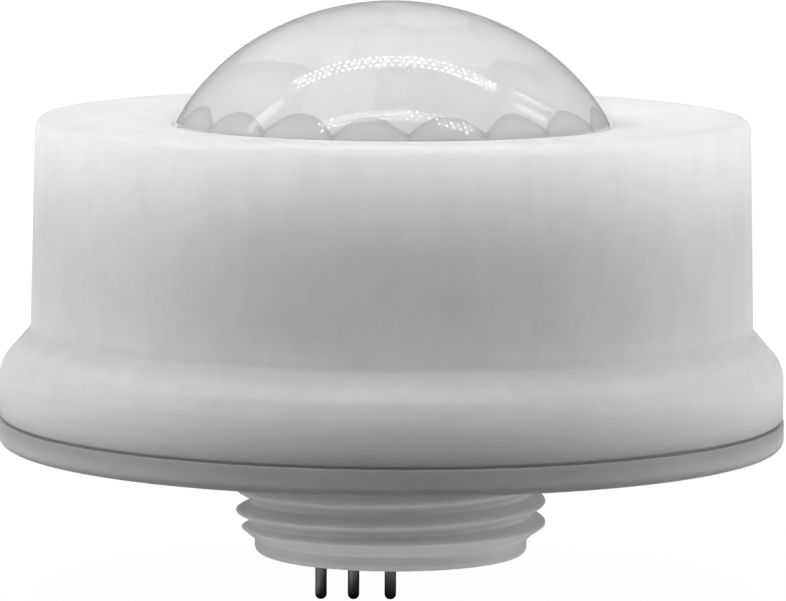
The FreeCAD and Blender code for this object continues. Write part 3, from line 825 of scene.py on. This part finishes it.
@dataclass
class DomeLens:
    """The translucent dome with its skirt, flange and the flat cells inside."""

    skirt_r: float = 23.2
    bore_r: float = 22.3
    flange_r: float = 26.2
    flange_low: float = 30.2
    flange_high: float = 31.2
    apex_z: float = 47.25
    crown_radius: float = 28.4
    crown_angle: float = 30.0
    side_radius: float = 24.2
    crown_steps: int = 14
    side_steps: int = 12
    cell_wall: float = 1.25
    cell_centre_z: float = 22.5
    cell_rows: tuple[CellRow, ...] = (
        CellRow(0.0, 1), CellRow(14.0, 6), CellRow(30.0, 12, -2.0), CellRow(46.5, 18, -6.0),
        CellRow(63.0, 18, 4.0),
    )
    hill_top: float = 0.546
    hill_foot: float = 0.478
    hill_edge: Pair = (-0.002, 0.004)
    # The lowest row's painted shade: darker under each cell's top edge and where two cells meet.
    hill_shade_fall: tuple[float, ...] = (0.0, 0.045, 1.0, 0.55)
    hill_valley_shade: tuple[float, ...] = (0.4, 0.5, 0.0, 0.35)
    border_width: float = 0.012
    ridge_width: float = 0.045
    first_seed: float = 3.0
    row_seed: float = 31.7
    sharp_angle: float = 25.0

    def dome_point(self, tilt: float, depth: float = 0.0) -> Vector:
        """The point of the dome's section where its normal leans by tilt degrees, at this depth inside."""
        centre = Vector((0.0, 0.0, self.apex_z - self.crown_radius))
        radius = self.crown_radius
        if tilt > self.crown_angle:
            join = self.leaning(self.crown_angle)
            centre += join * (self.crown_radius - self.side_radius)
            radius = self.side_radius
        return centre + self.leaning(tilt) * (radius - depth)

    def leaning(self, tilt: float) -> Vector:
        """The direction that leans by tilt degrees from +Z towards +X."""
        return Vector((math.sin(math.radians(tilt)), 0.0, math.cos(math.radians(tilt))))

    def skirt_tilt(self) -> float:
        """The tilt at which the dome meets its straight skirt."""
        centre_r = self.dome_point(self.crown_angle, self.side_radius).x
        return math.degrees(math.asin((self.skirt_r - centre_r) / self.side_radius))

    def outer(self) -> Piece:
        """The solid dome with skirt and flange."""
        end = self.skirt_tilt()
        tilts = [end + (self.crown_angle - end) * k / self.side_steps for k in range(self.side_steps)]
        tilts += [self.crown_angle * (1.0 - k / self.crown_steps) for k in range(self.crown_steps)]
        dome = [(point.x, point.z) for point in map(self.dome_point, tilts)]
        high = self.flange_high
        skirt = [(self.flange_r, self.flange_low), (self.flange_r, high), (self.skirt_r, high)]
        return turned("dome_lens", [*skirt, *dome, (0.0, self.apex_z)])

    def cavity(self) -> Piece:
        """The hollow of the dome, cut flat once for each cell."""
        outline = [(self.bore_r, self.flange_low - OVERSHOOT), (self.bore_r, self.apex_z), (0.0, self.apex_z)]
        hollow = turned("lens_cavity", outline, 180)
        edit(hollow)
        for row in self.cell_rows:
            touch = self.dome_point(row.tilt, self.cell_wall)
            way = self.leaning(row.tilt)
            for angle in ring_angles(row.count, row.first):
                bpy.ops.mesh.select_all(action="SELECT")
                bpy.ops.mesh.bisect(
                    plane_co=around(touch.x, angle, touch.z) * MM, plane_no=around(way.x, angle, way.z),
                    use_fill=True, clear_outer=True, threshold=0.1 * MERGE_REACH,
                )
        finish_edit()
        return hollow

    def upper_cells(self, graph: Graph, flat: Field, z: Field, turn: Field) -> tuple[Field, Field, Field]:
        """Finds the cell of the upper rows whose plane lies nearest behind a direction.

        Args:
            graph: The group's graph.
            flat: The direction's reach away from the axis.
            z: Its rise.
            turn: Its angle round the axis.

        Returns:
            The cell's number, its lead over the next cell, and how far the direction lies under the edge
            to the row above.
        """
        best = second = number = 0.0
        drop = 1.0
        for k, row in enumerate(self.cell_rows[:-1]):
            nearest, share = row.nearest(graph, turn)
            seed = self.row_seed * k + self.first_seed
            cell = graph.calc("FLOORED_MODULO", nearest, float(row.count)) + seed
            touch = self.dome_point(row.tilt, self.cell_wall)
            way = self.leaning(row.tilt)
            height = way.x * touch.x + way.z * (touch.z - self.cell_centre_z)
            upright = z * (way.z / height)
            across = flat * (way.x / height)
            offset = share * row.step
            score = upright + across * graph.calc("COSINE", offset)
            won = graph.calc("GREATER_THAN", score, best)
            lost = 1.0 - won
            drop = won * ((score - best) / score) + lost * drop
            number = won * cell + lost * number
            second = graph.calc("MAXIMUM", second, graph.calc("MINIMUM", best, score))
            best = graph.calc("MAXIMUM", best, score)
            if row.count > 1:
                beside = upright + across * graph.calc("COSINE", row.step - offset)
                second = graph.calc("MAXIMUM", second, graph.calc("MINIMUM", best, beside))
        return number, (best - second) / best, drop

    def cells_group(self) -> Tree:
        """The group that finds which flat cell lies behind a point of the dome.

        Returns:
            The group, with the cell's tone, masks of the borders and of the painted shade under each cell's
            upper edge, and the painted shade of the lowest row.
        """
        labels = ("Tone", "Border", "Ridge", "Lowest Row")
        graph, given, made = new_group(
            "lens_cells", {"Place": Kind.PLACE}, {label: Kind.NUMBER for label in labels},
        )
        from_centre = graph.vector("SUBTRACT", given["Place"], (0.0, 0.0, self.cell_centre_z * MM))
        x, y, z = graph.split(graph.vector("NORMALIZE", from_centre))
        flat = graph.calc("SQRT", x * x + y * y)
        turn = graph.calc("ARCTAN2", y, x)
        number, lead, drop = self.upper_cells(graph, flat, z, turn)
        _, share = self.cell_rows[-1].nearest(graph, turn)
        arch = share * share * (4.0 * (self.hill_top - self.hill_foot))
        fall = self.hill_top - arch - z
        hill = graph.span(fall, *self.hill_edge, 0.0, 1.0)
        above = 1.0 - hill
        # Painted shade of the lowest row, darker under its top edge and at the dips between cells.
        shade = graph.span(fall, *self.hill_shade_fall) + graph.span(share, *self.hill_valley_shade)
        tone = graph.get("TexWhiteNoise", "Value", noise_dimensions="1D", inputs={"W": number})
        border = above * graph.fade(lead, self.border_width)
        edge = graph.fade(graph.calc("ABSOLUTE", fall), self.border_width)
        graph.fill(made, {
            "Tone": above * tone + hill * NOISE_MIDDLE,
            "Border": graph.calc("MAXIMUM", border, edge),
            "Ridge": above * graph.fade(drop, self.ridge_width),
            "Lowest Row": hill * shade,
        })
        return graph.tree

    def build(self, material: Material) -> None:
        """Builds, dresses and ties the lens."""
        lens = self.outer()
        combine(lens, [self.cavity()], Joining.CUT)
        smooth(lens, self.sharp_angle)
        settle(lens, material, "lens_milky", "lens")


# The housing


@dataclass
class HousingShell:
    """The drum and flange in one white shell, with its bosses, posts and ribs inside."""

    mouth_r: float = 39.5
    flange_r: float = 41.9
    seam_depth: float = 0.6
    seam_height: float = 0.3
    seam_bevel: float = 0.2
    flange_top: float = 8.66
    flange_rounding: float = 3.5
    foot_r: float = 38.6
    foot_z: float = 12.38
    foot_rounding: float = 0.8
    top_r: float = 38.1
    rim_z: float = 35.15
    rim_rounding: float = 1.4
    lens_edge_r: float = 23.6
    lens_edge_z: float = 34.2
    lens_edge_bevel: float = 0.3
    ceiling_z: float = 32.0
    wall: float = 2.4
    inner_drop: float = 0.911
    inner_bevel: float = 1.2
    root_depth: float = 1.1
    boss_r: float = 3.4
    boss_foot: float = 5.2
    boss_hole_r: float = 1.25
    boss_hole_depth: float = 10.0
    post_circle: float = 28.9
    post_r: float = 2.3
    post_foot: float = 30.2
    post_first: float = 65.0
    rib_count: int = 6
    rib_first: float = 40.0
    rib_width: float = 1.2
    rib_depth: float = 1.5
    rib_root: float = 1.2
    rib_foot_gap: float = 0.4
    rib_top_root: float = 1.0
    rib_bevel: float = 0.3

    def shell(self) -> Piece:
        """The turned wall, with its closed outline inside and out."""
        seam_r = self.flange_r - self.seam_depth
        seam_z = PLATE_TOP + self.seam_height
        return turned("housing_shell", [
            (self.mouth_r, PLATE_TOP),
            (seam_r, PLATE_TOP),
            (seam_r, seam_z),
            (self.flange_r, seam_z, self.seam_bevel, 3),
            (self.flange_r, self.flange_top, self.flange_rounding, 12),
            (self.foot_r, self.foot_z, self.foot_rounding, 5),
            (self.top_r, self.rim_z, self.rim_rounding, 10),
            (self.lens_edge_r, self.lens_edge_z, self.lens_edge_bevel, 4),
            (self.lens_edge_r, self.ceiling_z),
            (self.top_r - self.wall, self.ceiling_z, self.inner_bevel, 2),
            (self.foot_r - self.wall, self.foot_z - self.inner_drop),
            (self.mouth_r, self.flange_top - self.inner_drop),
        ], closed=True)

    def rib(self, angle: float) -> Piece:
        """One upright rib on the inner wall, bevelled along its edge."""
        length = self.rib_depth + self.rib_root
        low = self.foot_z + self.rib_foot_gap
        high = self.ceiling_z + self.rib_top_root
        obj = block("rib", length, self.rib_width, high - low)
        pick_edges(obj, lambda a, b: a.x < 0.0 and b.x < 0.0 and abs(a.z - b.z) > MM)
        bpy.ops.mesh.bevel(offset=self.rib_bevel * MM, segments=2, affect="EDGES")
        finish_edit()
        middle = self.top_r - self.wall - self.rib_depth + length / 2.0
        move(obj, Vector((middle, 0.0, (high + low) / 2.0)))
        obj.data.transform(Matrix.Rotation(math.radians(angle), 4, "Z"))
        return obj

    def build(self, material: Material) -> None:
        """Builds, dresses and ties the housing."""
        shell = self.shell()
        root = self.ceiling_z + self.root_depth
        bosses = screw_places()
        posts = three_places(self.post_circle, self.post_first)
        inner = pillars(self.boss_r, self.boss_foot, root, bosses)
        inner += pillars(self.post_r, self.post_foot, root, posts, 36)
        inner += [self.rib(angle) for angle in ring_angles(self.rib_count, self.rib_first)]
        combine(shell, inner, Joining.ADD)
        hole_top = self.boss_foot + self.boss_hole_depth
        hole_low = self.boss_foot - OVERSHOOT
        combine(shell, pillars(self.boss_hole_r, hole_low, hole_top, bosses, 32), Joining.CUT)
        smooth(shell)
        settle(shell, material, "housing_white", "housing")


# The base


@dataclass
class BaseMoulding:
    """The round plate with its register and the threaded neck, in one moulding."""

    plate_r: float = 42.0
    plate_rounding: float = 0.9
    lip_bevel: float = 0.15
    register_r: float = 39.35
    register_wall: float = 2.2
    register_top: float = 6.4
    groove_low: float = 3.8
    groove_high: float = 5.6
    groove_r: float = 38.1
    neck_fillet: float = 0.25
    core_r: float = 15.145
    core_low: float = -9.855
    nose_r: float = 14.6
    nose_top: float = -10.4
    nose_rounding: float = 0.75
    bore_r: float = 12.2
    lip_bore_r: float = 10.6
    thread_r: float = 16.625
    thread_pitch: float = 2.31
    thread_last_crest: float = -8.6
    thread_sweep_top: float = 1.1
    thread_taper: float = 1.65
    thread_root: float = 0.2
    thread_relief: float = -2.2
    thread_relief_taper: float = 1.0
    thread_section: tuple[Pair, ...] = (
        (-1.7, -1.06), (-0.42, -0.40), (-0.2, -0.27), (-0.06, -0.15), (0.0, 0.0),
        (-0.06, 0.15), (-0.2, 0.27), (-0.42, 0.40), (-1.7, 1.06),
    )
    steps_per_turn: int = 112
    pad_r: float = 4.2
    pad_top: float = 5.2
    pad_root: float = 0.4
    head_room_r: float = 3.05
    hole_r: float = 1.65
    hole_low: float = 1.0
    standoff_circle: float = 24.5
    standoff_first: float = 65.0
    standoff_r: float = 2.6
    standoff_top: float = 8.8

    def body(self) -> Piece:
        """The turned plate, register and neck core."""
        register_inner = self.register_r - self.register_wall
        return turned("base_moulding", [
            (self.lip_bore_r, NECK_END),
            (self.nose_r, NECK_END, self.nose_rounding, 6),
            (self.nose_r, self.nose_top),
            (self.core_r, self.core_low),
            (self.core_r, 0.0, self.neck_fillet, 3),
            (self.plate_r, 0.0, self.plate_rounding, 8),
            (self.plate_r, PLATE_TOP, self.lip_bevel, 2),
            (self.register_r, PLATE_TOP),
            (self.register_r, self.groove_low),
            (self.groove_r, self.groove_low),
            (self.groove_r, self.groove_high),
            (self.register_r, self.groove_high),
            (self.register_r, self.register_top),
            (register_inner, self.register_top),
            (register_inner, PLATE_TOP),
            (self.bore_r, PLATE_TOP),
            (self.bore_r, NECK_LIP_TOP),
            (self.lip_bore_r, NECK_LIP_TOP),
        ], closed=True)

    def ridge(self) -> Piece:
        """The helical ridge, drawn as its section and swept by a screw."""
        start = self.thread_last_crest - self.thread_pitch
        points = [Vector((self.thread_r + dr, 0.0, start + dz)) * MM for dr, dz in self.thread_section]
        ridge = new_piece(bpy.ops.mesh.primitive_plane_add, "thread_ridge", size=MM)
        edit(ridge)
        bpy.ops.mesh.select_mode(type="VERT")
        bpy.ops.mesh.select_all(action="SELECT")
        bpy.ops.mesh.merge(type="CENTER")
        bpy.ops.transform.translate(value=points[0])
        for before, after in zip(points, points[1:] + points[:1]):
            bpy.ops.mesh.extrude_vertices_move(TRANSFORM_OT_translate={"value": after - before})
        bpy.ops.mesh.select_all(action="SELECT")
        bpy.ops.mesh.remove_doubles(threshold=MERGE_REACH)
        bpy.ops.object.mode_set(mode="OBJECT")
        rise = self.thread_sweep_top - start
        turns = rise / self.thread_pitch
        steps = round(self.steps_per_turn * turns)
        apply_modifier(ridge, "SCREW", angle=2.0 * math.pi * turns, screw_offset=rise * MM, iterations=1,
                       steps=steps, render_steps=steps)
        edit(ridge)
        bpy.ops.mesh.select_all(action="SELECT")
        bpy.ops.mesh.fill_holes(sides=0)
        finish_edit()
        return ridge

    def thread(self) -> Piece:
        """The helical ridge, trimmed to its taper and its relief."""
        ridge = self.ridge()
        envelope = turned("thread_envelope", [
            (self.nose_r, self.nose_top),
            (self.thread_r, self.nose_top + self.thread_taper),
            (self.thread_r, self.thread_relief - self.thread_relief_taper),
            (self.core_r - self.thread_root, self.thread_relief),
            (0.0, self.thread_relief),
        ], 224)
        log.info("thread: %d faces", len(ridge.data.polygons))
        combine(ridge, [envelope], Joining.KEEP_SHARED)
        return ridge

    def build(self, material: Material) -> None:
        """Builds, dresses and ties the base."""
        body = self.body()
        combine(body, [self.thread()], Joining.ADD)
        bosses = screw_places()
        standoffs = three_places(self.standoff_circle, self.standoff_first)
        root = PLATE_TOP - self.pad_root
        inner = pillars(self.pad_r, root, self.pad_top, bosses)
        inner += pillars(self.standoff_r, root, self.standoff_top, standoffs, 36)
        combine(body, inner, Joining.ADD)
        combine(body, pillars(self.head_room_r, -OVERSHOOT, SCREW_SEAT, bosses), Joining.CUT)
        combine(body, pillars(self.hole_r, self.hole_low, self.pad_top + OVERSHOOT, bosses, 36), Joining.CUT)
        smooth(body)
        settle(body, material, "base_white", "base")


# Small visible parts


@dataclass
class PinCarrier:
    """The insulating disc in the neck's end."""

    spigot_r: float = 10.5
    disc_r: float = 12.1
    rounding: float = 0.2
    hole_r: float = 0.93

    def build(self, material: Material) -> None:
        """Builds, dresses and ties the carrier."""
        disc = turned("pin_carrier_disc", [
            (self.spigot_r, NECK_END, self.rounding, 3), (self.spigot_r, NECK_LIP_TOP),
            (self.disc_r, NECK_LIP_TOP), (self.disc_r, CARRIER_TOP, self.rounding, 2), (0.0, CARRIER_TOP),
        ], 160)
        places = [Vector((x, 0.0, 0.0)) for x in PIN_PLACES]
        ends = (NECK_END - OVERSHOOT, CARRIER_TOP + OVERSHOOT)
        combine(disc, pillars(self.hole_r, *ends, places, 32), Joining.CUT)
        smooth(disc)
        settle(disc, material, "carrier_plastic", "pin_carrier")


@dataclass
class ContactPins:
    """The three round pins."""

    tip: float = -17.2
    nose_rounding: float = 0.6
    pin_r: float = 0.625
    shank_r: float = 0.9
    collar_r: float = 1.3
    collar_top: float = -7.75
    tail_r: float = 0.45
    tail_top: float = -5.55

    def pin(self) -> Piece:
        """One pin on the Z axis."""
        return turned("round_pin_1", [
            (self.tail_r, self.tail_top), (self.tail_r, self.collar_top),
            (self.collar_r, self.collar_top), (self.collar_r, CARRIER_TOP),
            (self.shank_r, CARRIER_TOP), (self.shank_r, NECK_END),
            (self.pin_r, NECK_END), (self.pin_r, self.tip, self.nose_rounding, 8), (0.0, self.tip),
        ], 40)

    def build(self, material: Material) -> None:
        """Builds one pin, copies it to each place, dresses and ties them."""
        first = self.pin()
        smooth(first)
        pins = [first] + [own_copy(first) for _ in PIN_PLACES[1:]]
        for k, (pin, x) in enumerate(zip(pins, PIN_PLACES), start=1):
            pin.name = f"round_pin_{k}"
            move(pin, Vector((x, 0.0, 0.0)))
            settle(pin, material, "pin_metal", f"contact_pin_{k}")


@dataclass
class PlateScrews:
    """The pan-head screws in the plate's underside."""

    head_r: float = 2.8
    head_height: float = 2.0
    head_rounding: float = 0.8
    shank_r: float = 1.2
    shank_top: float = 14.2
    recess_depth: float = 1.1
    recess_arm: float = 3.08
    recess_width: float = 0.78

    def screw(self, place: Vector) -> Piece:
        """One screw with its cross recess."""
        low = SCREW_SEAT - self.head_height
        screw = turned("plate_screw", [
            (self.shank_r, self.shank_top), (self.shank_r, SCREW_SEAT), (self.head_r, SCREW_SEAT),
            (self.head_r, low, self.head_rounding, 6), (0.0, low),
        ], 48)
        for size in ((self.recess_arm, self.recess_width), (self.recess_width, self.recess_arm)):
            arm = block("recess_arm", *size, 2.0 * self.recess_depth)
            finish_edit()
            move(arm, Vector((0.0, 0.0, low)))
            combine(screw, [arm], Joining.CUT)
        move(screw, place)
        return screw

    def build(self, material: Material) -> None:
        """Builds, dresses and ties the screws."""
        piece = joined("plate_screws", [self.screw(place) for place in screw_places()])
        smooth(piece)
        settle(piece, material, "screw_steel", "base_screws")


# Stage


@dataclass(frozen=True)
class Glow:
    """One bright side of the light tent: its direction, its brightness and how narrow it is."""

    way: Triple
    amount: float
    focus: float


@dataclass(frozen=True)
class TentLight:
    """The light tent: an even level, and the brighter sides that add to it."""

    level: float = 0.01
    reflected: float = 0.35
    glows: tuple[Glow, ...] = (
        Glow((0.0, 0.0, 1.0), 1.5, 8.0),
        Glow((0.0, 0.0, 1.0), 8.1, 24.0),
        Glow((-1.0, 0.0, 0.5), 1.4, 6.0),
        Glow((1.0, 0.2, 0.15), 2.35, 10.0),
    )

    def build(self) -> None:
        """Sets the world: white to the camera, and the tent's levels for the light on the object."""
        world = bpy.data.worlds.new("light_tent")
        bpy.context.scene.world = world
        world.use_nodes = True
        graph = Graph(world.node_tree)
        direction = graph.get("TexCoord", "Generated")
        total: Value = self.level
        for glow in self.glows:
            facing = graph.vector("DOT_PRODUCT", direction, Vector(glow.way).normalized(), output="Value")
            share = graph.calc("POWER", graph.calc("MAXIMUM", facing, 0.0), glow.focus)
            total = share * glow.amount + total
        seen = graph.seen()
        unseen = 1.0 - seen
        shiny = graph.get("LightPath", "Is Glossy Ray") * unseen
        strength = (unseen - shiny) * total + seen + shiny * self.reflected
        graph.fill(world.node_tree.nodes["Background"], {"Color": WHITE, "Strength": strength})


@dataclass
class Floor:
    """The plain pale floor under the pins."""

    z: float = -17.25
    size: float = 4000.0
    roughness: float = 0.8
    specular: float = 0.1
    shadow_share: float = 0.25
    white: float = 1.31
    tone_middle: float = 0.05
    tone_sides: float = 0.7
    tone_change: Pair = (30.0, 110.0)
    bounce: float = 0.56
    glow_inner: Pair = (9.0, 17.0)
    glow_outer: Pair = (34.0, 46.0)
    front_edge: Pair = (-4.0, 8.0)
    back_share: float = 0.25

    def across(self, graph: Graph, value: Field, ends: Pair, low: float, high: float) -> Field:
        """A soft change from low to high while a distance grows between two ends."""
        return graph.span(value, ends[0] * MM, ends[1] * MM, low, high)

    def build(self) -> None:
        """Builds the floor: white to the camera apart from a share of its shading, with a ring that glows."""
        floor = sheet("floor", self.size, self.size, cuts=7)
        move(floor, Vector((0.0, 0.0, self.z)))
        material, graph, shader = new_material("floor_white")
        glow = graph.get("Emission", 0, {"Strength": self.white})
        seen = graph.seen()
        flat = graph.stretch(graph.get("TexCoord", "Object"), (1.0, 1.0, 0.0))
        away = graph.vector("LENGTH", flat, output="Value")
        x, y, _ = graph.split(flat)
        inner = self.across(graph, away, self.glow_inner, 0.0, self.bounce)
        outer = self.across(graph, away, self.glow_outer, 1.0, 0.0)
        front = self.across(graph, y, self.front_edge, 1.0, self.back_share)
        aside = graph.calc("ABSOLUTE", x)
        tone = self.across(graph, aside, self.tone_change, self.tone_middle, self.tone_sides)
        graph.fill(shader, {
            "Roughness": self.roughness, "Specular IOR Level": self.specular,
            "Base Color": graph.shade(WHITE[:3], tone),
            "Emission Color": WHITE, "Emission Strength": inner * outer * (front * (1.0 - seen)),
        })
        shaded = Field(graph, shader.outputs[0])
        mix = graph.get("MixShader", 0, {0: seen * (1.0 - self.shadow_share), 1: shaded, 2: glow})
        graph.fill(material.node_tree.nodes["Material Output"], {"Surface": mix})
        dress(floor, material)


@dataclass(frozen=True)
class SoftStrip:
    """A plain soft strip of light from one place in X and Y to another, with a width."""

    start: Pair
    end: Pair
    width: float

    def build(self, height: float) -> Piece:
        """Builds the strip at a height."""
        start, end = Vector((*self.start, height)), Vector((*self.end, height))
        way = end - start
        strip = sheet("soft_strip", way.length, self.width, cuts=2)
        strip.data.transform(Matrix.Rotation(math.atan2(way.y, way.x), 4, "Z"))
        move(strip, (start + end) / 2.0)
        return strip


@dataclass
class LampStrips:
    """The photographer's lamps, seen only as reflections on the glossy dome.

    A beaded strip is given by the number of beads in a row and the rows' places in Y.
    """

    height: float = 250.0
    left: float = -134.0
    right: float = 140.0
    bead_r: float = 1.4
    beaded: tuple[tuple[int, tuple[float, ...]], ...] = (
        (32, (22.0, 34.0, 46.0)), (20, (-98.0, -108.0, -118.0)),
    )
    bead_strength: float = 24.0
    soft: tuple[SoftStrip, ...] = (
        SoftStrip((-285.0, 20.0), (-172.0, 9.0), 26.0),
        SoftStrip((178.0, 62.0), (268.0, 124.0), 12.0),
        SoftStrip((192.0, 26.0), (288.0, 84.0), 20.0),
    )
    soft_strength: float = 1.3

    def rows(self, count: int, places: Sequence[float]) -> list[Piece]:
        """A strip's rows of beads: one row, copied to each place and shifted by half a step in turn."""
        step = (self.right - self.left) / (count - 1)
        row = new_piece(bpy.ops.mesh.primitive_ico_sphere_add, "bead_row", subdivisions=2,
                        radius=self.bead_r * MM)
        apply_modifier(row, "ARRAY", count=count, use_relative_offset=False, use_constant_offset=True,
                       constant_offset_displace=(step * MM, 0.0, 0.0))
        rows = [row] + [own_copy(row) for _ in places[1:]]
        for k, (row, y) in enumerate(zip(rows, places)):
            move(row, Vector((self.left + step / 2.0 * (k % 2), y, self.height)))
        return rows

    def build(self) -> None:
        """Builds the strips and hides them from everything but reflections."""
        rows = [row for count, places in self.beaded for row in self.rows(count, places)]
        lamps = (
            (joined("lamp_beads", rows), self.bead_strength),
            (joined("soft_strips", [strip.build(self.height) for strip in self.soft]), self.soft_strength),
        )
        for piece, strength in lamps:
            material, graph, shader = new_material(piece.name)
            graph.fill(shader, {
                "Base Color": (0.0, 0.0, 0.0, 1.0), "Emission Color": WHITE, "Emission Strength": strength,
            })
            dress(piece, material)
            for rays in ("camera", "diffuse", "transmission", "shadow"):
                setattr(piece, f"visible_{rays}", False)
            log.info("%s: %d faces", piece.name, len(piece.data.polygons))


@dataclass
class PhotoCamera:
    """The long-lens camera of the photograph."""

    lens: float = 259.15
    sensor_width: float = 36.0
    clip_start: float = 0.01
    place: Triple = (0.0, -601.78, 82.37)
    aim: Triple = (0.1, 0.0, 15.17)
    roll: float = 0.35

    def build(self) -> None:
        """Adds the camera and makes it the scene's."""
        camera = new_piece(bpy.ops.object.camera_add, "photo_camera", location=Vector(self.place) * MM)
        camera.data.lens = self.lens
        camera.data.sensor_width = self.sensor_width
        camera.data.clip_start = self.clip_start
        way = Vector(self.aim) - Vector(self.place)
        turn = way.to_track_quat("-Z", "Y").to_matrix()
        camera.rotation_euler = (turn @ Matrix.Rotation(math.radians(self.roll), 3, "Z")).to_euler()
        bpy.context.scene.camera = camera


# The whole


FINISHES = (
    WhiteMoulding(
        "housing_white", (0.8, 0.8, 0.8), 0.42, tone_amount=0.09, tone_scale=60.0, grain_depth=0.004,
        scatter=26.0, scatter_low=9.0, specular=0.3, streaks=0.15,
        # Painted shade in the seam, painted light on the drum towards the top rim, painted shade on the top
        # face and the chamfer's top, painted light on the flange wall.
        bands=(
            (2.9, 0.38, 0.35), (36.0, 14.0, -0.18), (35.2, 1.6, 0.11), (11.9, 1.8, 0.08), (5.5, 4.5, -0.25),
        ),
    ),
    WhiteMoulding(
        "base_white", (0.76, 0.76, 0.76), 0.45, tone_amount=0.03, grain_depth=0.004, scatter=1.2,
        # Painted shadow on the plate's edge under the housing's flange, and painted shade on the neck just
        # under the plate.
        specular=0.4, bands=((2.9, 2.4, 0.42), (-0.7, 1.3, 0.5)),
    ),
    MilkyLens(
        "lens_milky", (0.82, 0.82, 0.82), 0.06, tone_amount=0.02, gloss_change=0.01, grain_scale=900.0,
        grain_depth=0.0012, scatter=5.0, coat=1.0, coat_ior=1.8,
    ),
    Finish("seal_rubber", (0.03, 0.03, 0.032), 0.75, tone_amount=0.2, grain_depth=0.02),
    DrawnMetal("screw_steel", (0.62, 0.63, 0.64), 0.32, 1.0, line_scale=(1.0, 1.0, 0.2)),
    Finish("carrier_plastic", (0.72, 0.72, 0.7), 0.55, tone_amount=0.06),
    DrawnMetal("pin_metal", (0.3, 0.3, 0.3), 0.24, 1.0, tone_amount=0.1),
    DrawnMetal("lead_tin", (0.7, 0.71, 0.72), 0.35, 1.0),
    Finish("wire_red", (0.55, 0.03, 0.025), 0.35, tone_amount=0.1),
    Finish("wire_blue", (0.03, 0.08, 0.45), 0.35, tone_amount=0.1),
    Finish("wire_black", (0.02, 0.02, 0.02), 0.35, tone_amount=0.2),
    Finish("retainer_black", (0.035, 0.035, 0.038), 0.55, tone_amount=0.15),
    Circuit("board_green", (0.03, 0.2, 0.085), 0.35, grain_depth=0.03),
    Finish("component_black", (0.03, 0.03, 0.033), 0.5, tone_amount=0.2),
    DrawnMetal("capacitor_can", (0.75, 0.76, 0.78), 0.3, 1.0, line_scale=(1.0, 1.0, 0.05)),
    Finish("choke_ferrite", (0.06, 0.06, 0.065), 0.6, tone_amount=0.25, grain_depth=0.02),
    Wound("choke_copper", (0.6, 0.24, 0.1), 0.3, 0.6, grain_depth=0.2),
    DrawnMetal("detector_metal", (0.72, 0.73, 0.74), 0.25, 1.0, line_scale=(1.0, 1.0, 0.1)),
    Finish("filter_dark", (0.05, 0.04, 0.06), 0.1, tone_amount=0.3, coat=0.5),
    Finish("epoxy_clear", (0.85, 0.87, 0.88), 0.08, tone_amount=0.03, clear=0.8),
    Finish("epoxy_dark", (0.05, 0.03, 0.04), 0.1, tone_amount=0.2, coat=0.4),
    Finish("epoxy_red", (0.6, 0.05, 0.05), 0.12, tone_amount=0.08, clear=0.4),
)


class PresenceSensor:
    """The whole sensor: its smooth outer parts by their material slot, and the finishes of its CAD nodes."""

    def __init__(self) -> None:
        """Chooses the outer parts."""
        self.lens = DomeLens()
        self.outer = {
            "housing_white": HousingShell(), "base_white": BaseMoulding(), "lens_milky": self.lens,
            "carrier_plastic": PinCarrier(), "pin_metal": ContactPins(), "screw_steel": PlateScrews(),
        }

    def build(self, frame: dict) -> None:
        """Builds the finishes and the pieces, and dresses the CAD nodes that stay.
        """
        groups = Groups(Mottle().group(), MouldingMarks().group(), self.lens.cells_group())
        materials = {finish.slot: finish.build(groups) for finish in FINISHES}
        slots = {part["node"]: part["material_slot"] for part in frame["record"]["subparts"]}
        for name, node in frame["nodes"].items():
            for holder in node.material_slots:
                holder.material = materials[slots[name]]
        log.info("%d CAD nodes dressed", len(frame["nodes"]))
        for slot, part in self.outer.items():
            part.build(materials[slot])


def main() -> None:
    """Builds the sensor, its stage and the camera."""
    logging.basicConfig(level=logging.INFO, format="%(message)s")
    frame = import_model()
    bpy.context.scene.view_settings.view_transform = "Standard"
    PresenceSensor().build(frame)
    TentLight().build()
    Floor().build()
    LampStrips().build()
    PhotoCamera().build()


if __name__ == "__main__":
    main()
